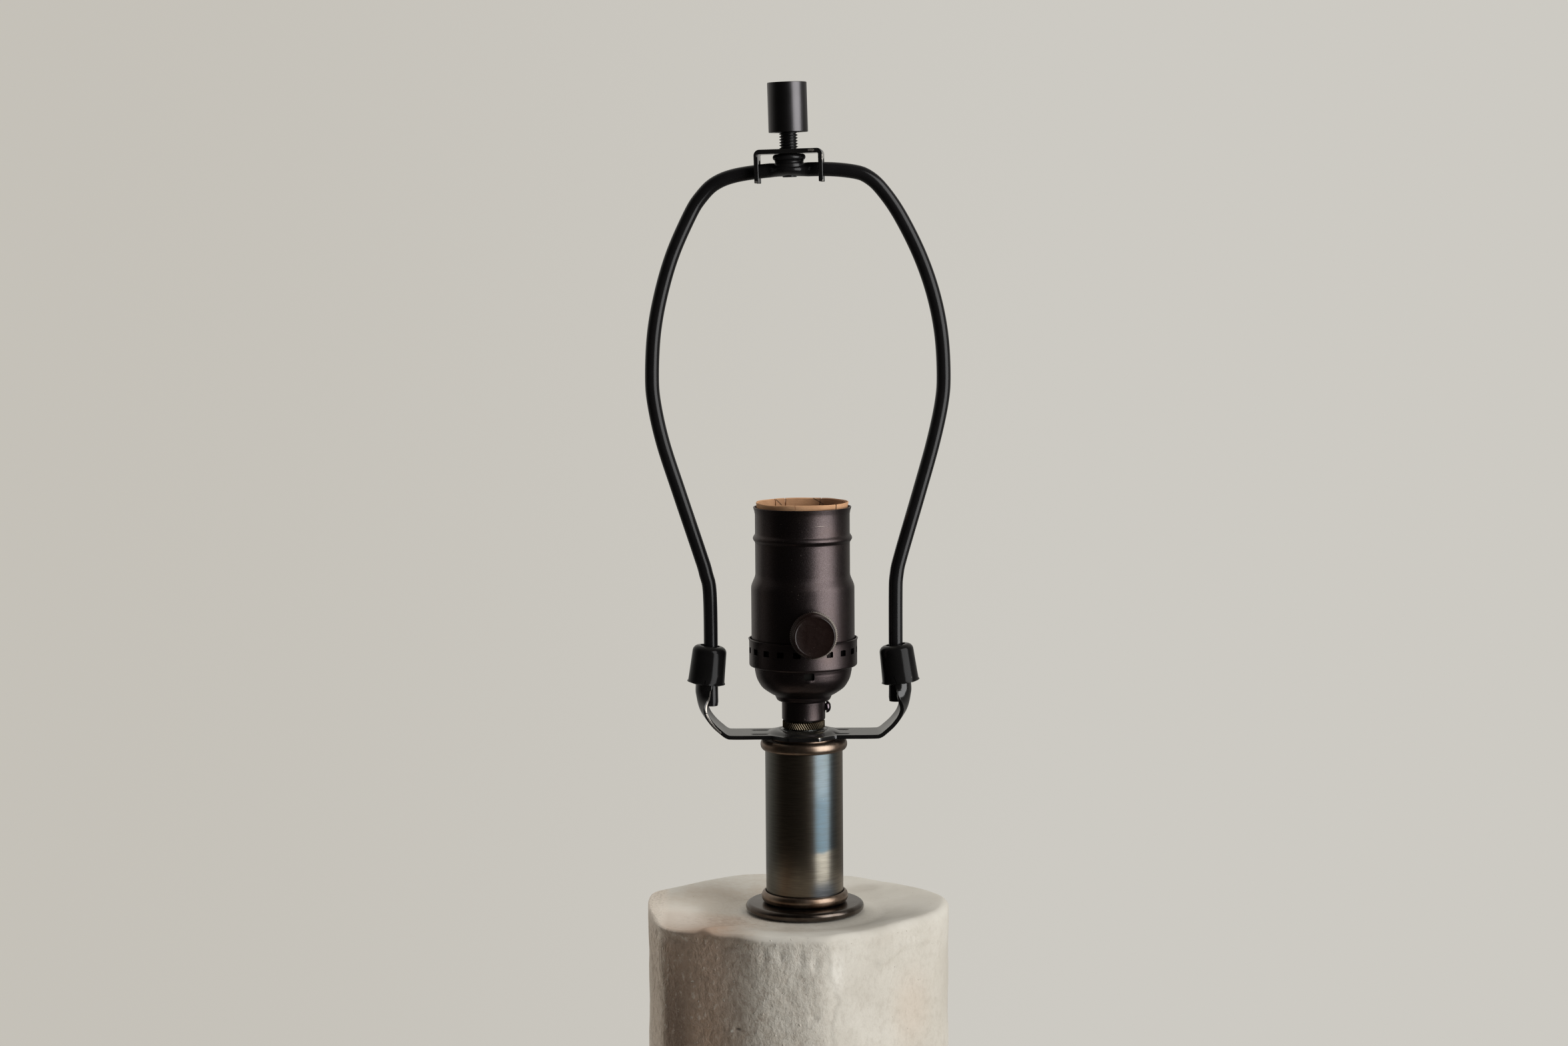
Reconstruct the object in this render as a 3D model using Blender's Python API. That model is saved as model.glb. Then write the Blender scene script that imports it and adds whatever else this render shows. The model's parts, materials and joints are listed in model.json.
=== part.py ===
"""A table lamp without its shade: a slab-built ceramic body on a felt pad, a metal neck, a harp saddle with a
lift-off wire harp, and a turn-switch lamp holder. Metres, +Z up, with the origin under the middle of the felt pad.
The front of the lamp, where the switch knob is, faces -Y."""

import math

import bmesh
import bpy
from mathutils import Matrix, Vector

# Clearances and tolerances
SEAT_GAP = 0.0003
FIT_GAP = 0.0003
CUT_OVERRUN = 0.002
WELD_DISTANCE = 0.000001
ROUND_SEGMENTS = 28
SMALL_SEGMENTS = 20

# Felt pad and ceramic body
FELT_THICKNESS = 0.002
FELT_INSET = 0.003
BODY_HEIGHT = 0.2977
BODY_HALF_WIDTH = 0.0513
BODY_HALF_DEPTH = 0.0465
BODY_OFFSET_X = -0.0022
BODY_WALL = 0.009
BODY_TOP_WALL = 0.009
BODY_SEGMENTS = 40
FOOT_WALL = 0.005
FOOT_RECESS = 0.028
FOOT_ROUND = 0.002
RIM_RISE = 0.0025
RIM_ROUND = 0.0034
SEAT_RADIUS = 0.0215
BODY_HOLE_GAP = 0.0005
# The outline seen from above, anticlockwise from the left corner, as shares of the half width and half depth
PLAN_SHARES = (
    (-1.00, 0.02), (-0.96, -0.20), (-0.85, -0.50), (-0.70, -0.70), (-0.49, -0.82), (-0.23, -0.97), (0.11, -1.00),
    (0.28, -0.92), (0.48, -0.77), (0.68, -0.57), (0.92, -0.27), (1.00, 0.05), (0.92, 0.33), (0.73, 0.61),
    (0.46, 0.90), (0.30, 0.98), (-0.10, 1.00), (-0.43, 0.94), (-0.73, 0.68), (-0.92, 0.36),
)
# Height share and outline share of the body's wall: hand-built sides that swell and draw in a little
WALL_SHARES = ((0.00, 0.985), (0.02, 1.000), (0.18, 1.008), (0.38, 0.998), (0.60, 1.006), (0.80, 0.999), (0.94, 1.0))

# Threaded pipe, its clamping plate, washer and nut
PIPE_RADIUS = 0.005
PIPE_BORE_RADIUS = 0.0034
PIPE_TAIL = 0.0025
PLATE_THICKNESS = 0.002
PLATE_INSET = 0.0068
WASHER_RADIUS = 0.0078
WASHER_THICKNESS = 0.001
HEX_NUT_ACROSS_FLATS = 0.0143
HEX_NUT_HEIGHT = 0.0032
HEX_SIDES = 6

# Cord bushing in the back of the foot
BUSHING_HEIGHT = 0.013
BUSHING_RADIUS = 0.0059
BUSHING_BORE_RADIUS = 0.0038
BUSHING_FLANGE_RADIUS = 0.0085
BUSHING_FLANGE_THICKNESS = 0.002
BUSHING_TAIL = 0.0015

# Base flange, check rings and neck tube
FLANGE_RADIUS = 0.0199
FLANGE_HEIGHT = 0.003
RING_RADIUS = 0.01455
RING_HEIGHT = 0.0036
RING_FLOOR = 0.0012
RING_LAND_RADIUS = 0.0108
RING_LAND_HEIGHT = 0.0006
NECK_RADIUS = 0.013
NECK_WALL = 0.001
NECK_LENGTH = 0.0522

# Harp saddle: a pressed steel strip whose ends curl into channels for the harp's legs
SADDLE_THICKNESS = 0.0013
SADDLE_WIDTH = 0.015
SADDLE_TIP_WIDTH = 0.0138
SADDLE_BOSS_HALF_DEPTH = 0.0129
SADDLE_BOSS_HALF_LENGTH = 0.0108
SADDLE_BOSS_FLAT = 0.005
SADDLE_RISE = 0.0256
SADDLE_ACROSS = 10
SADDLE_STATIONS = 13
EMBOSS_RADIUS = 0.0077
EMBOSS_HEIGHT = 0.0012
# The strip's middle line beyond the boss: share of the half span, share of the rise, share of full curl
SADDLE_LINE_SHARES = (
    (0.40, 0.00, 0.00), (0.66, 0.00, 0.00), (0.72, 0.012, 0.00), (0.777, 0.062, 0.02), (0.85, 0.148, 0.04),
    (0.921, 0.256, 0.10), (0.968, 0.365, 0.25), (0.993, 0.51, 0.62), (0.999, 0.646, 0.86), (0.966, 1.00, 1.00),
)

# Knurled locknut on the pipe
LOCKNUT_RADIUS = 0.0071
LOCKNUT_HEIGHT = 0.0025
LOCKNUT_KNURL_DEPTH = 0.00035
LOCKNUT_KNURLS = 36
LOCKNUT_TWIST_DEG = 9.0

# Lamp holder: cap, shell and paper liner
CAP_WALL = 0.0005
CAP_COLLAR_RADIUS = 0.00726
CAP_COLLAR_HEIGHT = 0.0064
BOWL_RADIUS = 0.0162
BOWL_DEPTH = 0.0103
BAND_STEP_HEIGHT = 0.0016
BAND_HEIGHT = 0.009
BAND_LIP = 0.00025
BAND_LIP_HEIGHT = 0.0006
# Radius share and height share of the bowl between the collar and the band, bottom to top
BOWL_SHARES = (
    (0.52, 0.02), (0.617, 0.165), (0.685, 0.26), (0.84, 0.435), (0.92, 0.61), (0.969, 0.78), (1.00, 1.00),
)
VENT_COUNT = 20
VENT_WIDTH = 0.0021
VENT_HEIGHT = 0.0018
VENT_DROP = 0.0036
VENT_PHASE_DEG = -7.2
SHELL_WALL = 0.0005
SHELL_LOWER_RADIUS = 0.01725
SHELL_UPPER_RADIUS = 0.0158
SHELL_LOWER_HEIGHT = 0.0264
SHELL_SHOULDER_HEIGHT = 0.0036
SHELL_UPPER_HEIGHT = 0.0228
BEAD_RISE = 0.00075
BEAD_HEIGHT = 0.0034
BEAD_DROP = 0.0104
RIM_FLARE = 0.00055
RIM_FLARE_HEIGHT = 0.0012
PAPER_THICKNESS = 0.0009
PAPER_PROUD = 0.0016
PAPER_FLARE = 0.0004
SET_SCREW_RADIUS = 0.0012
SET_SCREW_HEAD_RADIUS = 0.00198
SET_SCREW_HEAD_HEIGHT = 0.00165
SET_SCREW_HEIGHT = 0.0040
SET_SCREW_TURN_DEG = 5.0
CAP_LINER_THICKNESS = 0.0005

# Inside the lamp holder
SCREW_SHELL_WALL = 0.0003
SCREW_THREAD_DEPTH = 0.0006
SCREW_THREAD_PITCH = 0.00363
SCREW_SHELL_TURNS = 7
SCREW_SHELL_STEPS = 4
SCREW_SHELL_SEGMENTS = 16
INTERIOR_TOP_DROP = 0.0336
INTERIOR_CHAMFER = 0.0015
TERMINAL_POCKET_WIDTH = 0.008
TERMINAL_POCKET_HEIGHT = 0.0085
TERMINAL_POCKET_DEPTH = 0.0042
TERMINAL_DROP = 0.0165
TERMINAL_HEAD_RADIUS = 0.0031
TERMINAL_HEAD_HEIGHT = 0.0018
TERMINAL_SHANK_RADIUS = 0.0015
TERMINAL_SHANK_LENGTH = 0.0045
CONTACT_WIDTH = 0.0055
CONTACT_THICKNESS = 0.0005
CONTACT_REACH = 0.007
CONTACT_ROOT_LENGTH = 0.003
CONTACT_TIP_LENGTH = 0.0035
CONTACT_ROOT_X = 0.0082
CONTACT_TILT_DEG = 22.0

# Turn switch
SWITCH_HEIGHT = 0.0309
SWITCH_OFFSET_X = 0.0023
SWITCH_YAW_DEG = 3.0
ROTOR_RADIUS = 0.0046
ROTOR_LENGTH = 0.0055
ROTOR_BACK = 0.0042
SHAFT_RADIUS = 0.0021
SHAFT_INSET = 0.0025
KNOB_CLEARANCE = 0.0006
KNOB_FLANGE_RADIUS = 0.008
KNOB_FLANGE_THICKNESS = 0.0019
KNOB_KNURL_DEPTH = 0.0003
KNOB_KNURLS = 26
KNOB_WAIST_RADIUS = 0.0073
KNOB_FACE_RADIUS = 0.0069
KNOB_LENGTH = 0.0054
KNOB_EDGE = 0.0004

# Harp: wire, stud, shade rest and ferrules
WIRE_RADIUS = 0.00238
WIRE_SIDES = 10
WIRE_SPACING = 0.006
HARP_HEIGHT = 0.1779
HARP_HALF_WIDTH = 0.0483
LEG_HALF_SPACING = 0.03095
RIGHT_LEG_TRIM = 0.0011
LEG_END_HEIGHT = 0.0104
# The wire's line from the left leg over the top to the right leg: shares of the half width and of the height
HARP_LINE_SHARES = (
    (-0.668, 0.250), (-0.709, 0.288), (-0.844, 0.401), (-0.953, 0.495), (-1.011, 0.569), (-1.024, 0.621),
    (-1.007, 0.700), (-0.955, 0.774), (-0.871, 0.848), (-0.748, 0.921), (-0.676, 0.951), (-0.585, 0.975),
    (-0.448, 0.990), (-0.220, 0.999), (-0.065, 1.000), (0.189, 1.001), (0.370, 0.996), (0.461, 0.987),
    (0.552, 0.965), (0.674, 0.918), (0.811, 0.844), (0.906, 0.770), (0.960, 0.696), (0.976, 0.618),
    (0.960, 0.565), (0.900, 0.491), (0.802, 0.397), (0.680, 0.284), (0.649, 0.247),
)
STRAIGHT_LEG_SHARE = 0.20
HARP_TOP_SHARE = -0.071
HARP_TOP_TILT_DEG = -1.4
EYE_RADIUS = 0.0062
EYE_SEGMENTS = 16
STUD_TAIL_RADIUS = 0.0024
STUD_NECK_RADIUS = 0.0049
STUD_NECK_HEIGHT = 0.0004
STUD_COLLAR_RADIUS = 0.00545
STUD_COLLAR_HEIGHT = 0.0021
THREAD_ROOT_RADIUS = 0.0025
THREAD_CREST_RADIUS = 0.0031
THREAD_PITCH = 0.00094074
THREAD_TURNS = 13
THREAD_STEPS = 4
THREAD_SEGMENTS = 12
REST_WIDTH = 0.0221
REST_DEPTH = 0.0125
REST_THICKNESS = 0.0012
REST_LEG_DROP = 0.0107
REST_BEND = 0.0019
REST_TURN_DEG = -3.5
REST_HOLE_GAP = 0.0004
FORK_WIDTH = 0.0066
FERRULE_TOP_RADIUS = 0.0057
FERRULE_BOTTOM_RADIUS = 0.0061
FERRULE_FLARE = 0.0003
FERRULE_HEIGHT = 0.0126
FERRULE_WALL = 0.0005
FERRULE_DOME = 0.0021
FERRULE_HOLE_GAP = 0.0009
FERRULE_LIFT = 0.0181
FERRULE_SHIFT = 0.0016
FERRULE_LEFT_TILT_DEG = 6.6
FERRULE_RIGHT_TILT_DEG = 7.4

# Finial: a plain turned cylinder with a tapped bush inside
FINIAL_RADIUS = 0.00637
FINIAL_HEIGHT = 0.0163
FINIAL_EDGE = 0.0004
FINIAL_GAP = 0.0056
FINIAL_BORE_DEPTH = 0.0125
BUSH_RADIUS = 0.0043
BUSH_LENGTH = 0.0105


# Heights that follow from the sizes
FOOT_Z = FELT_THICKNESS + SEAT_GAP
SEAT_Z = FOOT_Z + BODY_HEIGHT
LEDGE_Z = FOOT_Z + FOOT_RECESS
PLATE_Z = LEDGE_Z - SEAT_GAP - PLATE_THICKNESS
WASHER_Z = PLATE_Z - SEAT_GAP - WASHER_THICKNESS
HEX_NUT_Z = WASHER_Z - SEAT_GAP - HEX_NUT_HEIGHT
PIPE_Z = HEX_NUT_Z - PIPE_TAIL
FLANGE_Z = SEAT_Z + SEAT_GAP
LOWER_RING_Z = FLANGE_Z + FLANGE_HEIGHT + SEAT_GAP
NECK_Z = LOWER_RING_Z + RING_FLOOR + SEAT_GAP
UPPER_RING_Z = NECK_Z + NECK_LENGTH + SEAT_GAP + RING_FLOOR - RING_HEIGHT
SADDLE_Z = UPPER_RING_Z + RING_HEIGHT + RING_LAND_HEIGHT + SEAT_GAP
LOCKNUT_Z = SADDLE_Z + SADDLE_THICKNESS + EMBOSS_HEIGHT + SEAT_GAP
CAP_Z = LOCKNUT_Z + LOCKNUT_HEIGHT + SEAT_GAP
BOWL_Z = CAP_Z + CAP_COLLAR_HEIGHT
BAND_Z = BOWL_Z + BOWL_DEPTH + BAND_STEP_HEIGHT
BAND_TOP_Z = BAND_Z + BAND_HEIGHT
BAND_RADIUS = SHELL_LOWER_RADIUS + FIT_GAP + CAP_WALL
SHELL_Z = BAND_Z + CAP_WALL + SEAT_GAP
SHOULDER_Z = SHELL_Z + SHELL_LOWER_HEIGHT
SHELL_TOP_Z = SHOULDER_Z + SHELL_SHOULDER_HEIGHT + SHELL_UPPER_HEIGHT
PAPER_RADIUS = SHELL_UPPER_RADIUS - SHELL_WALL - FIT_GAP
INTERIOR_RADIUS = PAPER_RADIUS - PAPER_THICKNESS - FIT_GAP
INTERIOR_TOP_Z = SHELL_TOP_Z - INTERIOR_TOP_DROP
SCREW_SHELL_RADIUS = INTERIOR_RADIUS - SCREW_SHELL_WALL - SCREW_THREAD_DEPTH
PIPE_TOP_Z = BOWL_Z + CAP_LINER_THICKNESS
PIPE_HOLE_RADIUS = PIPE_RADIUS + FIT_GAP
SWITCH_Z = CAP_Z + SWITCH_HEIGHT
CHANNEL_RADIUS = WIRE_RADIUS + FIT_GAP + SADDLE_THICKNESS / 2
SADDLE_HALF_SPAN = (LEG_HALF_SPACING + CHANNEL_RADIUS) / SADDLE_LINE_SHARES[-1][0]
HARP_Z = SADDLE_Z + LEG_END_HEIGHT
HARP_TOP_Z = HARP_Z + HARP_HEIGHT


def material(name, colour, metallic, roughness):
    """A plain finish of one colour."""
    made = bpy.data.materials.new(name)
    made.use_nodes = True
    shader = made.node_tree.nodes["Principled BSDF"]
    shader.inputs["Base Color"].default_value = (*colour, 1.0)
    shader.inputs["Metallic"].default_value = metallic
    shader.inputs["Roughness"].default_value = roughness
    return made


def piece(name, bm, finish, place=(0, 0, 0), turn=(0, 0, 0), parent=None):
    """One named object from a bmesh, with its normals made to point out of a closed body."""
    bmesh.ops.recalc_face_normals(bm, faces=bm.faces)
    mesh = bpy.data.meshes.new(name)
    bm.to_mesh(mesh)
    bm.free()
    mesh.materials.append(finish)
    mesh.shade_smooth()
    mesh.set_sharp_from_angle(angle=math.radians(35.0))
    made = bpy.data.objects.new(name, mesh)
    bpy.context.scene.collection.objects.link(made)
    made.location = place
    made.rotation_euler = turn
    made.parent = parent
    return made


def axis_empty(name, place, turn=(0, 0, 0), parent=None):
    """An empty on a joint's axis."""
    made = bpy.data.objects.new(name, None)
    bpy.context.scene.collection.objects.link(made)
    made.location = place
    made.rotation_euler = turn
    made.parent = parent
    return made


def combine(obj, other, operation):
    """A Boolean with a guide object, which isn't a node."""
    other.hide_render = True
    other.display_type = "WIRE"
    step = obj.modifiers.new(other.name, "BOOLEAN")
    step.operation = operation
    step.solver = "EXACT"
    step.object = other
    return step


def cut(obj, other):
    return combine(obj, other, "DIFFERENCE")


def turned(profile, segments, closed=True):
    """Spins a profile of (radius, height) points about Z. A closed one that leaves the axis is a ring."""
    bm = bmesh.new()
    verts = [bm.verts.new((radius, 0, height)) for radius, height in profile]
    edges = [bm.edges.new(pair) for pair in zip(verts, verts[1:])]
    if closed and profile[0][0] > 0:
        edges.append(bm.edges.new((verts[-1], verts[0])))
    bmesh.ops.spin(
        bm, geom=verts + edges, cent=(0, 0, 0), axis=(0, 0, 1), angle=math.tau, steps=segments, use_merge=True
    )
    bmesh.ops.remove_doubles(bm, verts=bm.verts, dist=WELD_DISTANCE)
    return bm


def inner_line(profile, wall):
    """The profile moved by the wall's thickness to its left, with mitred corners."""
    points = [Vector(p) for p in profile]
    ways = [(b - a).normalized() for a, b in zip(points, points[1:])]
    made = []
    for k, point in enumerate(points):
        before, after = ways[max(k - 1, 0)], ways[min(k, len(ways) - 1)]
        bisector = (before + after).normalized()
        square = bisector.dot(before)
        made.append(point + Vector((-bisector.y, bisector.x)) * (wall / square))
    return [tuple(p) for p in made]


def turned_wall(profile, wall, segments):
    """A turned wall of even thickness inside a profile that runs from bottom to top."""
    return turned([*profile, *reversed(inner_line(profile, wall))], segments)


def loft(rings, ends="cap"):
    """Joins rings of equally many points. Ends are capped, or joined to each other."""
    bm = bmesh.new()
    rows = [[bm.verts.new(point) for point in ring] for ring in rings]
    pairs = list(zip(rows, rows[1:]))
    if ends == "join":
        pairs.append((rows[-1], rows[0]))
    for low, high in pairs:
        for k in range(len(low)):
            j = (k + 1) % len(low)
            bm.faces.new((low[k], low[j], high[j], high[k]))
    if ends == "cap":
        bm.faces.new(rows[0][::-1])
        bm.faces.new(rows[-1])
    return bm


def circle(radius, z, count, turn=0.0):
    """A ring of points at one height."""
    angles = [turn + math.tau * k / count for k in range(count)]
    return [Vector((radius * math.cos(a), radius * math.sin(a), z)) for a in angles]


def knurled_circle(radius, depth, z, count, turn=0.0):
    """A ring with one crest and one root for each knurl."""
    angles = [turn + math.pi * k / count for k in range(2 * count)]
    radii = [radius - depth * (k % 2) for k in range(2 * count)]
    return [Vector((r * math.cos(a), r * math.sin(a), z)) for r, a in zip(radii, angles)]


def rounded_edge(radius, low, high, depth=None, steps=4):
    """An edge from low to high, its furthest point at that radius. It is half-round, or as deep as it is told."""
    half = (high - low) / 2
    deep = half if depth is None else depth
    angles = [-math.pi / 2 + math.pi * k / steps for k in range(steps + 1)]
    return [(radius - deep + deep * math.cos(a), low + half + half * math.sin(a)) for a in angles]


def smooth_line(points, per_span, closed=False):
    """Points along a Catmull-Rom curve through the given points, of any dimension."""
    points = [Vector(p) for p in points]
    count = len(points)
    made = []
    for k in range(count if closed else count - 1):
        if closed:
            a, b, c, d = (points[(k + shift) % count] for shift in (-1, 0, 1, 2))
        else:
            b, c = points[k], points[k + 1]
            a = points[k - 1] if k > 0 else b * 2 - c
            d = points[k + 2] if k + 2 < count else c * 2 - b
        for step in range(per_span):
            t = step / per_span
            made.append(
                0.5 * (2 * b + (c - a) * t + (2 * a - 5 * b + 4 * c - d) * t**2 + (3 * b - a - 3 * c + d) * t**3)
            )
    if not closed:
        made.append(points[-1])
    return made


def evenly(points, count):
    """The line through these points, taken at equal distances, count points in all."""
    lengths = [0.0]
    for a, b in zip(points, points[1:]):
        lengths.append(lengths[-1] + (b - a).length)
    made, k = [], 0
    for step in range(count):
        target = lengths[-1] * step / (count - 1)
        while k < len(points) - 2 and lengths[k + 1] < target:
            k += 1
        span = lengths[k + 1] - lengths[k]
        made.append(points[k].lerp(points[k + 1], (target - lengths[k]) / span))
    return made


# Finishes
CLAY = material("clay", (0.60, 0.56, 0.49), 0.0, 0.80)
FELT = material("felt", (0.10, 0.09, 0.08), 0.0, 0.95)
ZINC_STEEL = material("zinc_steel", (0.55, 0.55, 0.53), 1.0, 0.40)
BLACK_RUBBER = material("black_rubber", (0.03, 0.03, 0.03), 0.0, 0.60)
DARK_BRONZE = material("dark_bronze", (0.10, 0.07, 0.055), 0.8, 0.40)
SATIN_BRONZE = material("satin_bronze", (0.22, 0.14, 0.09), 0.9, 0.35)
PATINA_STEEL = material("patina_steel", (0.10, 0.12, 0.12), 0.9, 0.30)
GLOSS_BLACK = material("gloss_black", (0.012, 0.012, 0.013), 0.0, 0.18)
SATIN_BLACK = material("satin_black", (0.015, 0.015, 0.016), 0.0, 0.38)
AGED_BRASS = material("aged_brass", (0.42, 0.31, 0.16), 1.0, 0.35)
BROWN_PAINT = material("brown_paint", (0.055, 0.035, 0.032), 0.3, 0.45)
KNOB_PLASTIC = material("knob_plastic", (0.06, 0.028, 0.022), 0.0, 0.30)
CARD = material("card", (0.50, 0.33, 0.19), 0.0, 0.85)
PHENOLIC = material("phenolic", (0.03, 0.022, 0.02), 0.0, 0.40)
BRASS = material("brass", (0.75, 0.56, 0.26), 1.0, 0.30)
NICKEL = material("nickel", (0.70, 0.68, 0.64), 1.0, 0.25)


def plan_ring(inset, z, share=1.0):
    """The body's outline, drawn in by an inset, at one height."""
    line = smooth_line(PLAN_SHARES, 8, closed=True)
    line = evenly(line + [line[0]], BODY_SEGMENTS + 1)[:-1]
    across = (BODY_HALF_WIDTH - inset) * share
    along = (BODY_HALF_DEPTH - inset) * share
    return [Vector((BODY_OFFSET_X + p.x * across, p.y * along, z)) for p in line]


def centred_ring(radius, z):
    """A circle about the lamp's axis whose points face those of the body's outline."""
    angles = [math.atan2(p.y, p.x) for p in plan_ring(0, 0)]
    return [Vector((radius * math.cos(a), radius * math.sin(a), z)) for a in angles]


def felt_pad():
    """The pad glued under the foot, whose underside is the lamp's resting face."""
    bm = loft([plan_ring(FELT_INSET, 0), plan_ring(FELT_INSET, FELT_THICKNESS)])
    piece("felt_pad", bm, FELT)


def ceramic_body():
    """The hollow six-sided body: a dished top with a hole, and a deep open foot with a ledge for the plate."""
    hole = PIPE_HOLE_RADIUS + BODY_HOLE_GAP
    rim_z = SEAT_Z + RIM_RISE
    wall = [plan_ring(0, FOOT_Z + FOOT_ROUND + (BODY_HEIGHT - RIM_ROUND) * h, s) for h, s in WALL_SHARES]
    ceiling_z = SEAT_Z - BODY_TOP_WALL
    rings = [
        centred_ring(hole, SEAT_Z),
        centred_ring(SEAT_RADIUS, SEAT_Z),
        plan_ring(BODY_WALL + RIM_ROUND, rim_z - RIM_RISE * 0.3),
        plan_ring(RIM_ROUND, rim_z),
        plan_ring(RIM_ROUND * 0.35, rim_z - RIM_ROUND * 0.2),
        plan_ring(0, rim_z - RIM_ROUND),
        *reversed(wall[1:]),
        plan_ring(0, FOOT_Z + FOOT_ROUND, WALL_SHARES[0][1]),
        plan_ring(FOOT_ROUND, FOOT_Z),
        plan_ring(FOOT_WALL, FOOT_Z),
        plan_ring(FOOT_WALL, LEDGE_Z),
        plan_ring(BODY_WALL, LEDGE_Z),
        plan_ring(BODY_WALL, ceiling_z - RIM_ROUND),
        plan_ring(BODY_WALL + RIM_ROUND, ceiling_z),
        centred_ring(hole, ceiling_z),
    ]
    body = piece("ceramic_body", loft(rings, "join"), CLAY)
    reach = FOOT_WALL + CUT_OVERRUN
    drill = turned(
        [(0, -reach), (BUSHING_RADIUS + FIT_GAP, -reach), (BUSHING_RADIUS + FIT_GAP, reach), (0, reach)],
        SMALL_SEGMENTS,
    )
    place = (0, BODY_HALF_DEPTH, FOOT_Z + BUSHING_HEIGHT)
    cut(body, piece("bushing_drill", drill, CLAY, place, (math.pi / 2, 0, 0)))


def cord_bushing():
    """A flanged sleeve in the back of the foot, where a lead would leave."""
    flange = BUSHING_FLANGE_THICKNESS
    tail = -FOOT_WALL - SEAT_GAP - BUSHING_TAIL
    profile = [
        (BUSHING_BORE_RADIUS, tail),
        (BUSHING_RADIUS, tail),
        (BUSHING_RADIUS, 0),
        (BUSHING_FLANGE_RADIUS, 0),
        (BUSHING_FLANGE_RADIUS, flange / 2),
        (BUSHING_FLANGE_RADIUS - flange / 2, flange),
        (BUSHING_BORE_RADIUS, flange),
    ]
    place = (0, BODY_HALF_DEPTH * WALL_SHARES[2][1] + SEAT_GAP, FOOT_Z + BUSHING_HEIGHT)
    piece("cord_bushing", turned(profile, SMALL_SEGMENTS), BLACK_RUBBER, place, (-math.pi / 2, 0, 0))


def ring_plate(name, outer, inner, height, z, finish, segments=SMALL_SEGMENTS):
    """A flat turned ring, such as a washer."""
    profile = [(inner, 0), (outer, 0), (outer, height), (inner, height)]
    return piece(name, turned(profile, segments), finish, (0, 0, z))


def pipe_and_clamp():
    """The full-length threaded pipe that pulls the plate up against the body's ledge."""
    ring_plate("threaded_pipe", PIPE_RADIUS, PIPE_BORE_RADIUS, PIPE_TOP_Z - PIPE_Z, PIPE_Z, ZINC_STEEL)
    outer = plan_ring(PLATE_INSET, PLATE_Z)
    inner = centred_ring(PIPE_HOLE_RADIUS, PLATE_Z)
    rise = Vector((0, 0, PLATE_THICKNESS))
    rings = [inner, outer, [p + rise for p in outer], [p + rise for p in inner]]
    piece("base_plate", loft(rings, "join"), ZINC_STEEL)
    ring_plate("pipe_washer", WASHER_RADIUS, PIPE_HOLE_RADIUS, WASHER_THICKNESS, WASHER_Z, ZINC_STEEL)
    corner = HEX_NUT_ACROSS_FLATS / 2 / math.cos(math.pi / HEX_SIDES)
    count = HEX_SIDES * 4
    hexagon = []
    for k in range(count):
        start = Vector((corner, 0, 0))
        start.rotate(Matrix.Rotation(math.tau * (k // 4) / HEX_SIDES, 3, "Z"))
        end = Vector((corner, 0, 0))
        end.rotate(Matrix.Rotation(math.tau * (k // 4 + 1) / HEX_SIDES, 3, "Z"))
        hexagon.append(start.lerp(end, (k % 4) / 4))
    rise = Vector((0, 0, HEX_NUT_HEIGHT))
    bore = circle(PIPE_HOLE_RADIUS, 0, count)
    rings = [bore, hexagon, [p + rise for p in hexagon], [p + rise for p in bore]]
    piece("pipe_hex_nut", loft(rings, "join"), ZINC_STEEL, (0, 0, HEX_NUT_Z))


def neck():
    """The base flange, the two cupped check rings and the tube between them."""
    flange = [(PIPE_HOLE_RADIUS, 0), *rounded_edge(FLANGE_RADIUS, 0, FLANGE_HEIGHT), (PIPE_HOLE_RADIUS, FLANGE_HEIGHT)]
    piece("base_flange", turned(flange, ROUND_SEGMENTS), DARK_BRONZE, (0, 0, FLANGE_Z))
    seat = NECK_RADIUS + FIT_GAP
    bead = rounded_edge(RING_RADIUS, 0, RING_HEIGHT, RING_RADIUS - seat)
    cup = [
        (PIPE_HOLE_RADIUS, 0),
        *bead,
        (seat, RING_FLOOR),
        (PIPE_HOLE_RADIUS, RING_FLOOR),
    ]
    piece("lower_check_ring", turned(cup, ROUND_SEGMENTS), SATIN_BRONZE, (0, 0, LOWER_RING_Z))
    top = RING_HEIGHT + RING_LAND_HEIGHT
    land = [
        (PIPE_HOLE_RADIUS, RING_HEIGHT - RING_FLOOR),
        (seat, RING_HEIGHT - RING_FLOOR),
        *bead,
        (RING_LAND_RADIUS, RING_HEIGHT),
        (RING_LAND_RADIUS, top),
        (PIPE_HOLE_RADIUS, top),
    ]
    piece("upper_check_ring", turned(land, ROUND_SEGMENTS), SATIN_BRONZE, (0, 0, UPPER_RING_Z))
    ring_plate("neck_tube", NECK_RADIUS, NECK_RADIUS - NECK_WALL, NECK_LENGTH, NECK_Z, PATINA_STEEL, ROUND_SEGMENTS)


def channel_section(half_width, curl):
    """Points across the strip as (lift, sideways): flat at curl 0, and the channel's own radius at curl 1."""
    shares = [2 * k / SADDLE_ACROSS - 1 for k in range(SADDLE_ACROSS + 1)]
    if curl <= 0:
        return [(0.0, half_width * share) for share in shares]
    radius = CHANNEL_RADIUS / curl
    angles = [half_width * share / radius for share in shares]
    return [(radius * (1 - math.cos(angle)), radius * math.sin(angle)) for angle in angles]


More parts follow.
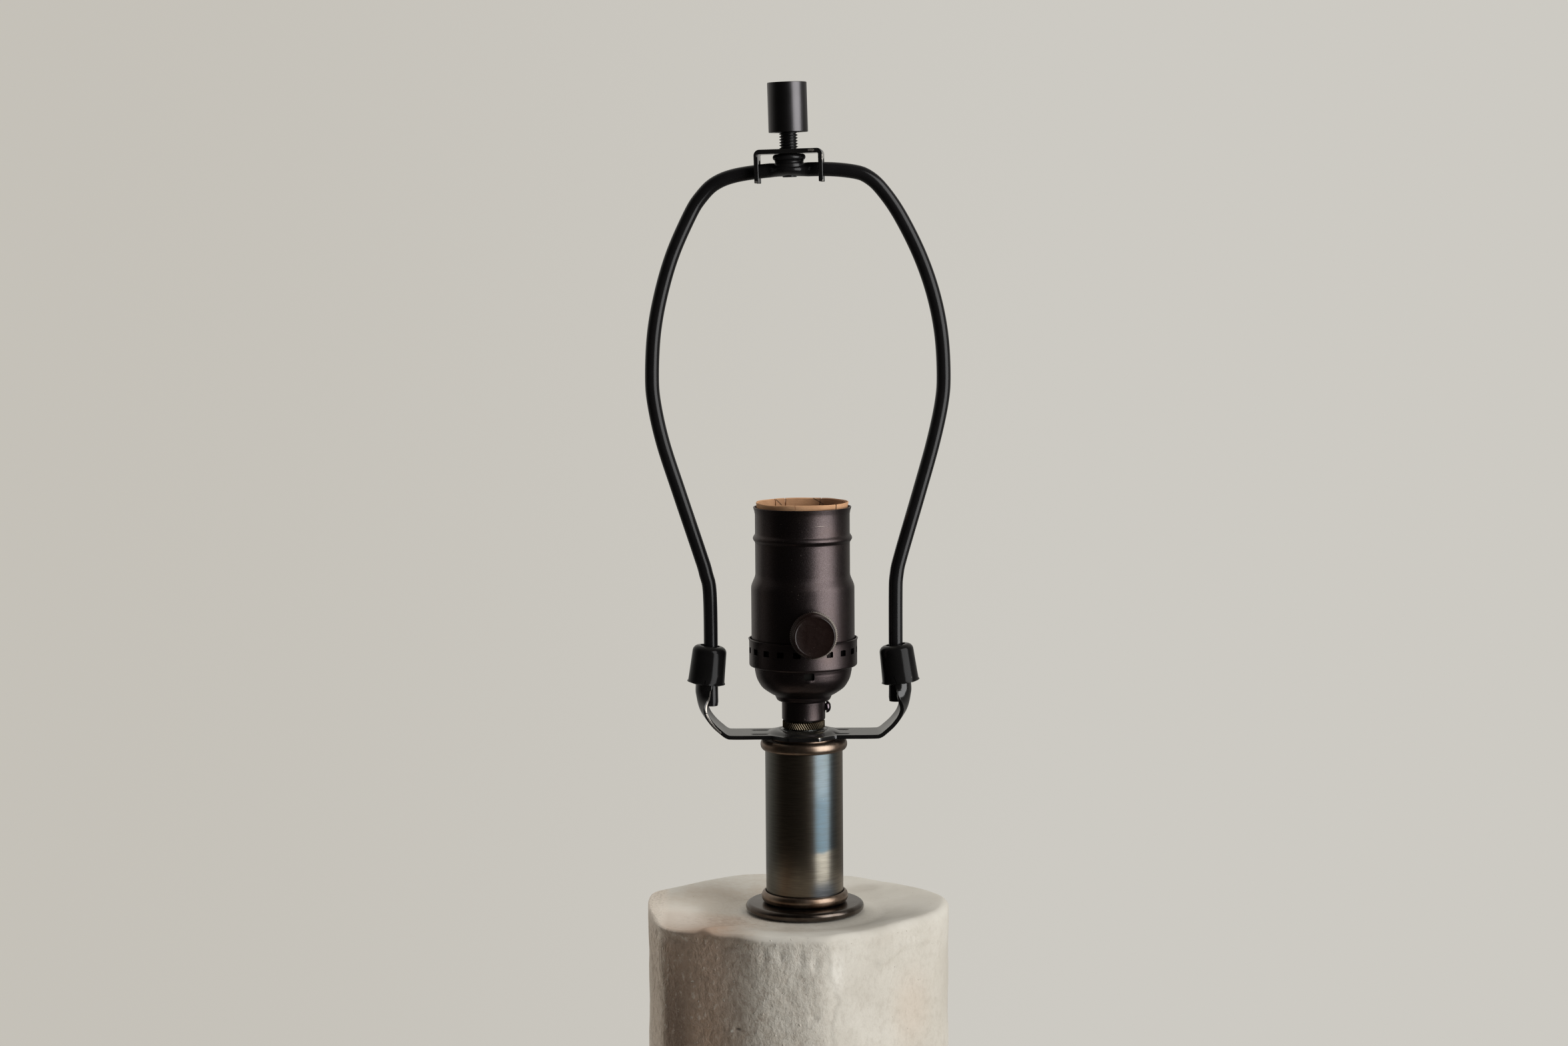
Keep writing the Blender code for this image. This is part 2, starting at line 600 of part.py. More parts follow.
def saddle_arm():
    """Stations of one arm from the boss to the tip, each with place, direction, half width and curl."""
    line = smooth_line(SADDLE_LINE_SHARES, 6)
    line = [Vector((p.x * SADDLE_HALF_SPAN, p.y * SADDLE_RISE, min(max(p.z, 0), 1))) for p in line]
    line = evenly(line_with_curl(line), SADDLE_STATIONS)
    made = []
    for k, p in enumerate(line):
        ahead = line[min(k + 1, len(line) - 1)]
        behind = line[max(k - 1, 0)]
        way = Vector((ahead.x - behind.x, ahead.y - behind.y)).normalized()
        share = k / (len(line) - 1)
        half = (SADDLE_WIDTH + (SADDLE_TIP_WIDTH - SADDLE_WIDTH) * share) / 2
        made.append((p.x, p.y, way, half, p.z / SADDLE_HALF_SPAN))
    return made


def line_with_curl(line):
    """Scales the curl share to a length, so that it doesn't upset the spacing of the stations much."""
    return [Vector((p.x, p.y, p.z * SADDLE_HALF_SPAN)) for p in line]


def harp_saddle():
    """The pressed strip: a six-sided boss on the pipe, arms out and up, and channels for the harp's legs."""
    arm = saddle_arm()
    rows = []
    for side in (-1, 1):
        stations = []
        for x, z, way, half, curl in arm:
            inward = Vector((-way.y, way.x))
            row = []
            for lift, sideways in channel_section(half, curl):
                row.append(Vector((side * (x + inward.x * lift), sideways, z + inward.y * lift)))
            stations.append(row)
        rows.append(stations)
    boss = []
    for x, half in (
        (-SADDLE_BOSS_HALF_LENGTH, SADDLE_WIDTH / 2),
        (-SADDLE_BOSS_FLAT, SADDLE_BOSS_HALF_DEPTH),
        (SADDLE_BOSS_FLAT, SADDLE_BOSS_HALF_DEPTH),
        (SADDLE_BOSS_HALF_LENGTH, SADDLE_WIDTH / 2),
    ):
        boss.append([Vector((x, half * (2 * k / SADDLE_ACROSS - 1), 0)) for k in range(SADDLE_ACROSS + 1)])
    grid = [*reversed(rows[0]), *boss, *rows[1]]
    bm = bmesh.new()
    verts = [[bm.verts.new(p) for p in row] for row in grid]
    for low, high in zip(verts, verts[1:]):
        for k in range(SADDLE_ACROSS):
            bm.faces.new((low[k], high[k], high[k + 1], low[k + 1]))
    saddle = piece("harp_saddle", bm, GLOSS_BLACK, (0, 0, SADDLE_Z + SADDLE_THICKNESS / 2))
    wall = saddle.modifiers.new("wall", "SOLIDIFY")
    wall.thickness = SADDLE_THICKNESS
    wall.offset = 0
    wall.use_even_offset = True
    half = SADDLE_THICKNESS / 2
    emboss = turned([(0, 0), (EMBOSS_RADIUS, 0), (EMBOSS_RADIUS, half + EMBOSS_HEIGHT), (0, half + EMBOSS_HEIGHT)], 24)
    combine(saddle, piece("saddle_emboss", emboss, GLOSS_BLACK, saddle.location), "UNION")
    low, high = -half - CUT_OVERRUN, half + EMBOSS_HEIGHT + CUT_OVERRUN
    drill = turned([(0, low), (PIPE_HOLE_RADIUS, low), (PIPE_HOLE_RADIUS, high), (0, high)], SMALL_SEGMENTS)
    cut(saddle, piece("saddle_drill", drill, GLOSS_BLACK, saddle.location))


def knurled_locknut():
    """The round brass nut over the saddle, with slanting knurls."""
    count = 2 * LOCKNUT_KNURLS
    twist = math.radians(LOCKNUT_TWIST_DEG)
    rings = [
        circle(PIPE_HOLE_RADIUS, 0, count),
        knurled_circle(LOCKNUT_RADIUS, LOCKNUT_KNURL_DEPTH, 0, LOCKNUT_KNURLS),
        knurled_circle(LOCKNUT_RADIUS, LOCKNUT_KNURL_DEPTH, LOCKNUT_HEIGHT, LOCKNUT_KNURLS, -twist),
        circle(PIPE_HOLE_RADIUS, LOCKNUT_HEIGHT, count, -twist),
    ]
    piece("knurled_locknut", loft(rings, "join"), AGED_BRASS, (0, 0, LOCKNUT_Z))


def bowl_profile(inset):
    """The bowl from the collar to the band, moved in and up by an inset."""
    return [(BOWL_RADIUS * r - inset, BOWL_Z + BOWL_DEPTH * h + inset) for r, h in BOWL_SHARES]


def bowl_height(radius, inset):
    """The height at which the bowl, moved by an inset, has this radius, or its brim's height."""
    profile = bowl_profile(inset)
    for (r0, z0), (r1, z1) in zip(profile, profile[1:]):
        if r0 <= radius <= r1:
            return z0 + (z1 - z0) * (radius - r0) / (r1 - r0)
    return profile[-1][1]


def socket_cap():
    """The spun cap: threaded collar, bowl, and the perforated band that grips the shell."""
    outer = [
        *bowl_profile(0),
        (BAND_RADIUS - CAP_WALL / 2, BAND_Z - CAP_WALL),
        (BAND_RADIUS, BAND_Z),
        (BAND_RADIUS, BAND_TOP_Z - BAND_LIP_HEIGHT),
        (BAND_RADIUS + BAND_LIP, BAND_TOP_Z),
    ]
    collar = [(PIPE_HOLE_RADIUS, CAP_Z), (CAP_COLLAR_RADIUS, CAP_Z), (CAP_COLLAR_RADIUS, BOWL_Z)]
    neck_top = [(PIPE_HOLE_RADIUS, BOWL_Z + CAP_WALL)]
    profile = [*collar, *outer, *reversed(inner_line(outer, CAP_WALL)), *neck_top]
    cap = piece("socket_cap", turned(profile, ROUND_SEGMENTS), BROWN_PAINT)
    half_wall = (CAP_COLLAR_RADIUS - PIPE_HOLE_RADIUS) / 2
    vents = bmesh.new()
    for k in range(VENT_COUNT):
        angle = math.radians(VENT_PHASE_DEG) - math.pi / 2 + math.tau * k / VENT_COUNT
        place = Matrix.Rotation(angle, 4, "Z") @ Matrix.Translation((BAND_RADIUS, 0, BAND_TOP_Z - VENT_DROP))
        size = Matrix.Diagonal((2 * CUT_OVERRUN, VENT_WIDTH, VENT_HEIGHT, 1))
        bmesh.ops.create_cube(vents, size=1, matrix=place @ size)
    cut(cap, piece("vent_punch", vents, BROWN_PAINT))
    screw_hole = turned(
        [(0, -half_wall - CUT_OVERRUN), (SET_SCREW_RADIUS + FIT_GAP, -half_wall - CUT_OVERRUN),
         (SET_SCREW_RADIUS + FIT_GAP, half_wall + CUT_OVERRUN), (0, half_wall + CUT_OVERRUN)],
        SMALL_SEGMENTS,
    )
    angle = math.radians(SET_SCREW_TURN_DEG)
    reach = PIPE_HOLE_RADIUS + half_wall
    place = (reach * math.cos(angle), reach * math.sin(angle), CAP_Z + SET_SCREW_HEIGHT)
    cut(cap, piece("set_screw_drill", screw_hole, BROWN_PAINT, place, (0, math.pi / 2, angle)))


def cap_set_screw():
    """The small domed screw through the collar that stops the lamp holder turning on the pipe."""
    head = SET_SCREW_HEAD_RADIUS
    seat = CAP_COLLAR_RADIUS + SEAT_GAP
    profile = [
        (0, PIPE_HOLE_RADIUS + SEAT_GAP),
        (SET_SCREW_RADIUS, PIPE_HOLE_RADIUS + SEAT_GAP),
        (SET_SCREW_RADIUS, seat),
        (head, seat),
        (head, seat + SET_SCREW_HEAD_HEIGHT * 0.45),
        (head * 0.72, seat + SET_SCREW_HEAD_HEIGHT * 0.85),
        (0, seat + SET_SCREW_HEAD_HEIGHT),
    ]
    angle = math.radians(SET_SCREW_TURN_DEG)
    piece(
        "cap_set_screw", turned(profile, 16), BROWN_PAINT, (0, 0, CAP_Z + SET_SCREW_HEIGHT), (0, math.pi / 2, angle)
    )


def cap_liner():
    """The thin fibre dish that lines the cap's bowl."""
    profile = bowl_profile(CAP_WALL + FIT_GAP)[2:]
    piece("cap_liner", turned_wall(profile, CAP_LINER_THICKNESS, ROUND_SEGMENTS), CARD)


def shell_profile():
    """The shell's outside from its lower edge to the flared rim."""
    upper = SHELL_TOP_Z - SHELL_UPPER_HEIGHT
    bead_z = SHELL_TOP_Z - BEAD_DROP
    half = BEAD_HEIGHT / 2
    bead = [
        (SHELL_UPPER_RADIUS + BEAD_RISE * (1 + math.cos(math.pi * t)) / 2, bead_z + half * t)
        for t in (-1.0, -0.4, 0.4, 1.0)
    ]
    slope = SHELL_LOWER_RADIUS - SHELL_UPPER_RADIUS
    return [
        (SHELL_LOWER_RADIUS, SHELL_Z),
        (SHELL_LOWER_RADIUS, SHOULDER_Z - SHELL_SHOULDER_HEIGHT * 0.3),
        (SHELL_LOWER_RADIUS - slope * 0.12, SHOULDER_Z + SHELL_SHOULDER_HEIGHT * 0.1),
        (SHELL_UPPER_RADIUS + slope * 0.15, upper - SHELL_SHOULDER_HEIGHT * 0.25),
        (SHELL_UPPER_RADIUS, upper + SHELL_SHOULDER_HEIGHT * 0.2),
        *bead,
        (SHELL_UPPER_RADIUS, SHELL_TOP_Z - RIM_FLARE_HEIGHT * 2),
        (SHELL_UPPER_RADIUS + RIM_FLARE, SHELL_TOP_Z - RIM_FLARE_HEIGHT),
        (SHELL_UPPER_RADIUS + RIM_FLARE, SHELL_TOP_Z),
    ]


def switch_axis_turn():
    """Turns a piece made along +Z so that its +Z runs out to the front along the switch's axis."""
    return (math.pi / 2, 0, math.radians(SWITCH_YAW_DEG))


def stem_drill(name, radius, start, length, finish):
    """A drill along the switch's axis, from a distance in front of the lamp's axis."""
    profile = [(0, start), (radius, start), (radius, start + length), (0, start + length)]
    return piece(name, turned(profile, SMALL_SEGMENTS), finish, (SWITCH_OFFSET_X, 0, SWITCH_Z), switch_axis_turn())


def socket_shell():
    """The drawn shell with its rolled bead and the hole for the switch stem."""
    shell = piece("socket_shell", turned_wall(shell_profile(), SHELL_WALL, ROUND_SEGMENTS), BROWN_PAINT)
    cut(shell, stem_drill("shell_drill", SHAFT_RADIUS + FIT_GAP, ROTOR_BACK, SHELL_LOWER_RADIUS, BROWN_PAINT))


def paper_insulator():
    """The card tube inside the shell, which stands a little above the rim."""
    bottom = bowl_height(PAPER_RADIUS, CAP_WALL + FIT_GAP + CAP_LINER_THICKNESS) + SEAT_GAP
    top = SHELL_TOP_Z + PAPER_PROUD
    profile = [(PAPER_RADIUS, bottom), (PAPER_RADIUS, SHELL_TOP_Z - RIM_FLARE_HEIGHT), (PAPER_RADIUS + PAPER_FLARE, top)]
    paper = piece("paper_insulator", turned_wall(profile, PAPER_THICKNESS, ROUND_SEGMENTS), CARD)
    cut(paper, stem_drill("paper_drill", SHAFT_RADIUS + 2 * FIT_GAP, ROTOR_BACK, SHELL_LOWER_RADIUS, CARD))


def socket_interior():
    """The moulded block that carries the screw shell, the switch rotor and the two terminal screws."""
    inset = CAP_WALL + FIT_GAP + CAP_LINER_THICKNESS
    bottom = bowl_height(INTERIOR_RADIUS, inset) + SEAT_GAP
    chamfer = INTERIOR_CHAMFER
    profile = [
        (0, bottom - chamfer), (INTERIOR_RADIUS - 2 * chamfer, bottom - chamfer), (INTERIOR_RADIUS, bottom),
        (INTERIOR_RADIUS, INTERIOR_TOP_Z), (0, INTERIOR_TOP_Z),
    ]
    block = piece("socket_interior", turned(profile, ROUND_SEGMENTS), PHENOLIC)
    chamber = stem_drill(
        "rotor_chamber", ROTOR_RADIUS + FIT_GAP, ROTOR_BACK - SEAT_GAP, INTERIOR_RADIUS + CUT_OVERRUN, PHENOLIC
    )
    cut(block, chamber)
    pocket = bmesh.new()
    for side in (-1, 1):
        middle = side * (INTERIOR_RADIUS - TERMINAL_POCKET_DEPTH / 2 + CUT_OVERRUN / 2)
        place = Matrix.Translation((middle, 0, terminal_height()))
        size = (TERMINAL_POCKET_DEPTH + CUT_OVERRUN, TERMINAL_POCKET_WIDTH, TERMINAL_POCKET_HEIGHT, 1)
        bmesh.ops.create_cube(pocket, size=1, matrix=place @ Matrix.Diagonal(size))
    cut(block, piece("terminal_pockets", pocket, PHENOLIC))
    reach = INTERIOR_RADIUS - TERMINAL_POCKET_DEPTH + CUT_OVERRUN
    depth = TERMINAL_SHANK_LENGTH + SEAT_GAP
    for side, name in ((-1, "left"), (1, "right")):
        bore = TERMINAL_SHANK_RADIUS + FIT_GAP
        start = INTERIOR_RADIUS - TERMINAL_POCKET_DEPTH - depth
        hole = turned([(0, start), (bore, start), (bore, reach), (0, reach)], 16)
        place, turn = (0, 0, terminal_height()), (0, side * math.pi / 2, 0)
        cut(block, piece("terminal_drill_" + name, hole, PHENOLIC, place, turn))


def terminal_height():
    """The height of the terminal screws, measured down from the top of the moulded block."""
    return INTERIOR_TOP_Z - TERMINAL_DROP


def terminal_screws():
    """The live screw on the left and the neutral one on the right, each in its pocket."""
    seat = INTERIOR_RADIUS - TERMINAL_POCKET_DEPTH + SEAT_GAP
    profile = [
        (0, seat - TERMINAL_SHANK_LENGTH), (TERMINAL_SHANK_RADIUS, seat - TERMINAL_SHANK_LENGTH),
        (TERMINAL_SHANK_RADIUS, seat), (TERMINAL_HEAD_RADIUS, seat),
        (TERMINAL_HEAD_RADIUS, seat + TERMINAL_HEAD_HEIGHT * 0.7),
        (TERMINAL_HEAD_RADIUS * 0.8, seat + TERMINAL_HEAD_HEIGHT), (0, seat + TERMINAL_HEAD_HEIGHT),
    ]
    place = (0, 0, terminal_height())
    piece("terminal_screw_live", turned(profile, 16), BRASS, place, (0, -math.pi / 2, 0))
    piece("terminal_screw_neutral", turned(profile, 16), NICKEL, place, (0, math.pi / 2, 0))


def screw_shell():
    """The thin threaded sleeve that takes the lamp's cap."""
    rows = []
    steps = SCREW_SHELL_TURNS * SCREW_SHELL_STEPS
    for row in range(steps + 1):
        outer, inner = [], []
        for k in range(SCREW_SHELL_SEGMENTS):
            angle = math.tau * k / SCREW_SHELL_SEGMENTS
            wave = (1 + math.cos(math.tau * row / SCREW_SHELL_STEPS - angle)) / 2
            radius = SCREW_SHELL_RADIUS + SCREW_THREAD_DEPTH * wave
            way = Vector((math.cos(angle), math.sin(angle), 0))
            level = Vector((0, 0, SCREW_THREAD_PITCH * row / SCREW_SHELL_STEPS))
            outer.append(way * radius + level)
            inner.append(way * (radius - SCREW_SHELL_WALL) + level)
        rows.append((outer, inner))
    rings = [outer for outer, inner in rows] + [inner for outer, inner in reversed(rows)]
    piece("screw_shell", loft(rings, "join"), BRASS, (0, 0, INTERIOR_TOP_Z + SEAT_GAP))


def centre_contact():
    """The sprung brass tongue in the bottom of the holder, hinged where its root is held."""
    tilt = math.radians(CONTACT_TILT_DEG)
    hinge = axis_empty("contact_axis", (CONTACT_ROOT_X, 0, INTERIOR_TOP_Z + SEAT_GAP))
    knee = Vector((-CONTACT_REACH * math.cos(tilt), 0, CONTACT_REACH * math.sin(tilt)))
    middle = [
        Vector((CONTACT_ROOT_LENGTH, 0, 0)),
        Vector((0, 0, 0)),
        knee,
        knee + Vector((-CONTACT_TIP_LENGTH, 0, 0)),
    ]
    rise = Vector((0, 0, CONTACT_THICKNESS))
    half = Vector((0, CONTACT_WIDTH / 2, 0))
    rings = [[p - half, p + half, p + half + rise, p - half + rise] for p in middle]
    piece("centre_contact", loft(rings), BRASS, parent=hinge)


def switch():
    """Rotor, stem and knob on one axis through the front of the lamp holder."""
    axis = axis_empty("switch_axis", (SWITCH_OFFSET_X, 0, SWITCH_Z), switch_axis_turn())
    rotor_front = ROTOR_BACK + ROTOR_LENGTH
    bore = SHAFT_RADIUS + FIT_GAP
    blind = rotor_front - SHAFT_INSET - SEAT_GAP
    rotor = [
        (0, ROTOR_BACK), (ROTOR_RADIUS, ROTOR_BACK), (ROTOR_RADIUS, rotor_front), (bore, rotor_front),
        (bore, blind), (0, blind),
    ]
    piece("switch_rotor", turned(rotor, SMALL_SEGMENTS), PHENOLIC, parent=axis)
    knob_back = BAND_RADIUS + BAND_LIP + KNOB_CLEARANCE
    start, end = rotor_front - SHAFT_INSET, knob_back + SHAFT_INSET
    stem = [(0, start), (SHAFT_RADIUS, start), (SHAFT_RADIUS, end), (0, end)]
    piece("switch_stem", turned(stem, SMALL_SEGMENTS), AGED_BRASS, parent=axis)
    count = 2 * KNOB_KNURLS
    front = knob_back + KNOB_LENGTH
    rings = [
        circle(bore, end + SEAT_GAP, count),
        circle(bore, knob_back, count),
        knurled_circle(KNOB_FLANGE_RADIUS, KNOB_KNURL_DEPTH, knob_back, KNOB_KNURLS),
        knurled_circle(KNOB_FLANGE_RADIUS, KNOB_KNURL_DEPTH, knob_back + KNOB_FLANGE_THICKNESS, KNOB_KNURLS),
        circle(KNOB_WAIST_RADIUS, knob_back + KNOB_FLANGE_THICKNESS + KNOB_EDGE, count),
        circle(KNOB_FACE_RADIUS, front - KNOB_EDGE, count),
        circle(KNOB_FACE_RADIUS - KNOB_EDGE, front, count),
    ]
    piece("switch_knob", loft(rings), KNOB_PLASTIC, parent=axis)


def harp_line():
    """The wire's middle line: a straight left leg, the hand-bent bow, and a straight right leg."""
    bow = [Vector((x * HARP_HALF_WIDTH, z * HARP_HEIGHT)) for x, z in HARP_LINE_SHARES]
    straight = STRAIGHT_LEG_SHARE * HARP_HEIGHT
    left = [Vector((-LEG_HALF_SPACING, 0)), Vector((-LEG_HALF_SPACING, straight))]
    right = [Vector((LEG_HALF_SPACING, straight)), Vector((LEG_HALF_SPACING, RIGHT_LEG_TRIM))]
    line = smooth_line([*left, *bow, *right], 6)
    length = sum((b - a).length for a, b in zip(line, line[1:]))
    return evenly(line, round(length / WIRE_SPACING) + 1)


def harp_wire(parent):
    """The bent rod, with the flattened eye at its top that holds the stud."""
    line = harp_line()
    rings = []
    for k, p in enumerate(line):
        ahead, behind = line[min(k + 1, len(line) - 1)], line[max(k - 1, 0)]
        way = (ahead - behind).normalized()
        side = Vector((-way.y, 0, way.x))
        ring = []
        for step in range(WIRE_SIDES):
            angle = math.tau * step / WIRE_SIDES
            offset = side * (WIRE_RADIUS * math.cos(angle)) + Vector((0, WIRE_RADIUS * math.sin(angle), 0))
            ring.append(Vector((p.x, 0, p.y)) + offset)
        rings.append(ring)
    wire = piece("harp_wire", loft(rings), SATIN_BLACK, parent=parent)
    tilt = (0, math.radians(HARP_TOP_TILT_DEG), 0)
    place = Vector((HARP_TOP_SHARE * HARP_HALF_WIDTH, 0, HARP_HEIGHT))
    eye_round = WIRE_RADIUS * 0.45
    eye = turned(
        [(0, -WIRE_RADIUS), (EYE_RADIUS - eye_round, -WIRE_RADIUS), (EYE_RADIUS, -WIRE_RADIUS + eye_round),
         (EYE_RADIUS, WIRE_RADIUS - eye_round), (EYE_RADIUS - eye_round, WIRE_RADIUS), (0, WIRE_RADIUS)],
        EYE_SEGMENTS,
    )
    combine(wire, piece("wire_eye", eye, SATIN_BLACK, place, tilt, parent), "UNION")
    reach = WIRE_RADIUS + CUT_OVERRUN
    bore = STUD_TAIL_RADIUS + FIT_GAP
    drill = turned([(0, -reach), (bore, -reach), (bore, reach), (0, reach)], 16)
    cut(wire, piece("eye_drill", drill, SATIN_BLACK, place, tilt, parent))


def threaded_rod(start_z, tip_z):
    """The stud's threaded length: rings whose radius waves once a turn, closed by a bevelled tip."""
    rings = []
    for row in range(THREAD_TURNS * THREAD_STEPS + 1):
        ring = []
        for k in range(THREAD_SEGMENTS):
            angle = math.tau * k / THREAD_SEGMENTS
            wave = (1 + math.cos(math.tau * row / THREAD_STEPS - angle)) / 2
            radius = THREAD_ROOT_RADIUS + (THREAD_CREST_RADIUS - THREAD_ROOT_RADIUS) * wave
            level = start_z + THREAD_PITCH * row / THREAD_STEPS
            ring.append(Vector((radius * math.cos(angle), radius * math.sin(angle), level)))
        rings.append(ring)
    rings.append(circle(THREAD_ROOT_RADIUS - (THREAD_CREST_RADIUS - THREAD_ROOT_RADIUS), tip_z, THREAD_SEGMENTS))
    return loft(rings)


def harp_stud(parent):
    """The riveted stud: a tail through the eye, a neck, a rounded collar and the shade thread."""
    eye_top = WIRE_RADIUS + SEAT_GAP
    collar_z = eye_top + STUD_NECK_HEIGHT
    core_z = collar_z + STUD_COLLAR_HEIGHT
    profile = [
        (0, -WIRE_RADIUS), (STUD_TAIL_RADIUS, -WIRE_RADIUS), (STUD_TAIL_RADIUS, eye_top),
        (STUD_NECK_RADIUS, eye_top), (STUD_NECK_RADIUS, collar_z),
        *rounded_edge(STUD_COLLAR_RADIUS, collar_z, core_z),
        (0, core_z),
    ]
    stud = piece("harp_stud", turned(profile, SMALL_SEGMENTS), SATIN_BLACK, parent=parent)
    start = core_z - THREAD_PITCH
    tip_z = start + THREAD_PITCH * (THREAD_TURNS + 1)
    rod = piece("stud_rod", threaded_rod(start, tip_z), SATIN_BLACK, parent=parent)
    combine(stud, rod, "UNION")


def rest_top():
    """The height of the shade rest's top face over the wire's middle line."""
    return WIRE_RADIUS + 2 * SEAT_GAP + STUD_NECK_HEIGHT + STUD_COLLAR_HEIGHT + REST_THICKNESS


def bent_corner(x, z, radius, side):
    """The round of one corner, from the leg over to the plate on the right, and back on the left."""
    angles = [math.pi / 2 * k / 3 for k in range(4)]
    points = [(side * (x - radius + radius * math.cos(a)), z - radius + radius * math.sin(a)) for a in angles]
    return points if side > 0 else points[::-1]


def shade_rest(parent):
    """The bent plate under the shade's ring, its two forked legs astride the wire."""
    half, wall, top = REST_WIDTH / 2, REST_THICKNESS, rest_top()
    low = top - REST_LEG_DROP
    inside = bent_corner(half - wall, top - wall, REST_BEND - wall, 1)
    inside += bent_corner(half - wall, top - wall, REST_BEND - wall, -1)
    outline = [
        (half - wall, low), (half, low), *bent_corner(half, top, REST_BEND, 1), *bent_corner(half, top, REST_BEND, -1),
        (-half, low), (wall - half, low), *inside[::-1],
    ]
    rings = [[Vector((x, y, z)) for x, z in outline] for y in (-REST_DEPTH / 2, REST_DEPTH / 2)]
    turn = (0, 0, math.radians(REST_TURN_DEG))
    rest = piece("shade_rest", loft(rings), GLOSS_BLACK, turn=turn, parent=parent)
    fork = bmesh.new()
    height = FORK_WIDTH / 2 - low + CUT_OVERRUN
    place = Matrix.Translation((0, 0, FORK_WIDTH / 2 - height / 2))
    size = Matrix.Diagonal((REST_WIDTH + CUT_OVERRUN, FORK_WIDTH, height, 1))
    bmesh.ops.create_cube(fork, size=1, matrix=place @ size)
    cut(rest, piece("fork_saw", fork, GLOSS_BLACK, turn=turn, parent=parent))
    bore = THREAD_CREST_RADIUS + REST_HOLE_GAP
    drill = turned([(0, 0), (bore, 0), (bore, top + CUT_OVERRUN), (0, top + CUT_OVERRUN)], SMALL_SEGMENTS)
    cut(rest, piece("rest_drill", drill, GLOSS_BLACK, turn=turn, parent=parent))


def ferrule(name, side, tilt_deg, parent):
    """A drawn cup over the saddle's tip and the harp's leg, which locks the two together."""
    bottom = FERRULE_LIFT - LEG_END_HEIGHT
    hole = WIRE_RADIUS + FERRULE_HOLE_GAP
    dome = FERRULE_DOME
    shoulder = FERRULE_HEIGHT - dome
    profile = [
        (FERRULE_BOTTOM_RADIUS + FERRULE_FLARE, 0),
        (FERRULE_BOTTOM_RADIUS, FERRULE_FLARE * 2),
        (FERRULE_TOP_RADIUS, shoulder),
        *[
            (FERRULE_TOP_RADIUS - dome + dome * math.cos(a), shoulder + dome * math.sin(a))
            for a in (math.pi / 6, math.pi / 3, math.pi / 2)
        ],
        (hole, FERRULE_HEIGHT),
    ]
    tilt = math.radians(tilt_deg) * side
    place = (side * (LEG_HALF_SPACING + FERRULE_SHIFT), 0, bottom)
    piece(name, turned_wall(profile, FERRULE_WALL, SMALL_SEGMENTS), GLOSS_BLACK, place, (0, -tilt, 0), parent)


def finial(parent):
    """The turned cylinder that screws down on the shade's ring, with the tapped bush inside it."""
    bottom = rest_top() + FINIAL_GAP
    bore = BUSH_RADIUS + FIT_GAP
    edge = FINIAL_EDGE
    top = bottom + FINIAL_HEIGHT
    lathe = [
        (bore, bottom), (FINIAL_RADIUS - edge, bottom), (FINIAL_RADIUS, bottom + edge), (FINIAL_RADIUS, top - edge),
        (FINIAL_RADIUS - edge, top), (0, top), (0, bottom + FINIAL_BORE_DEPTH), (bore, bottom + FINIAL_BORE_DEPTH),
    ]
    bm = turned([*lathe[6:], *lathe[:6]], ROUND_SEGMENTS)
    piece("finial", bm, SATIN_BLACK, parent=parent)
    start = bottom + FINIAL_BORE_DEPTH - SEAT_GAP - BUSH_LENGTH
    tapped = THREAD_CREST_RADIUS + FIT_GAP
    profile = [(tapped, start), (BUSH_RADIUS, start), (BUSH_RADIUS, start + BUSH_LENGTH), (tapped, start + BUSH_LENGTH)]
    piece("finial_bush", turned(profile, SMALL_SEGMENTS), BRASS, parent=parent)


def harp():
    """Everything that lifts off with the harp, on an empty at the foot of its legs on the lamp's axis."""
    lift = axis_empty("harp_axis", (0, 0, HARP_Z))
    harp_wire(lift)
    place = (HARP_TOP_SHARE * HARP_HALF_WIDTH, 0, HARP_HEIGHT)
    crown = axis_empty("crown_axis", place, (0, math.radians(HARP_TOP_TILT_DEG), 0), lift)
    harp_stud(crown)
    shade_rest(crown)
    finial(crown)
    ferrule("ferrule_left", -1, FERRULE_LEFT_TILT_DEG, lift)
    ferrule("ferrule_right", 1, FERRULE_RIGHT_TILT_DEG, lift)


def clear_scene():
    for old in list(bpy.data.objects):
        bpy.data.objects.remove(old)


clear_scene()
felt_pad()
ceramic_body()
cord_bushing()
pipe_and_clamp()
neck()
harp_saddle()
knurled_locknut()
socket_cap()
cap_set_screw()
cap_liner()
socket_shell()
paper_insulator()
socket_interior()
terminal_screws()
screw_shell()
centre_contact()
switch()
harp()
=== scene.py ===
import json
import math

import bmesh
import bpy
from mathutils import Matrix, Vector, noise


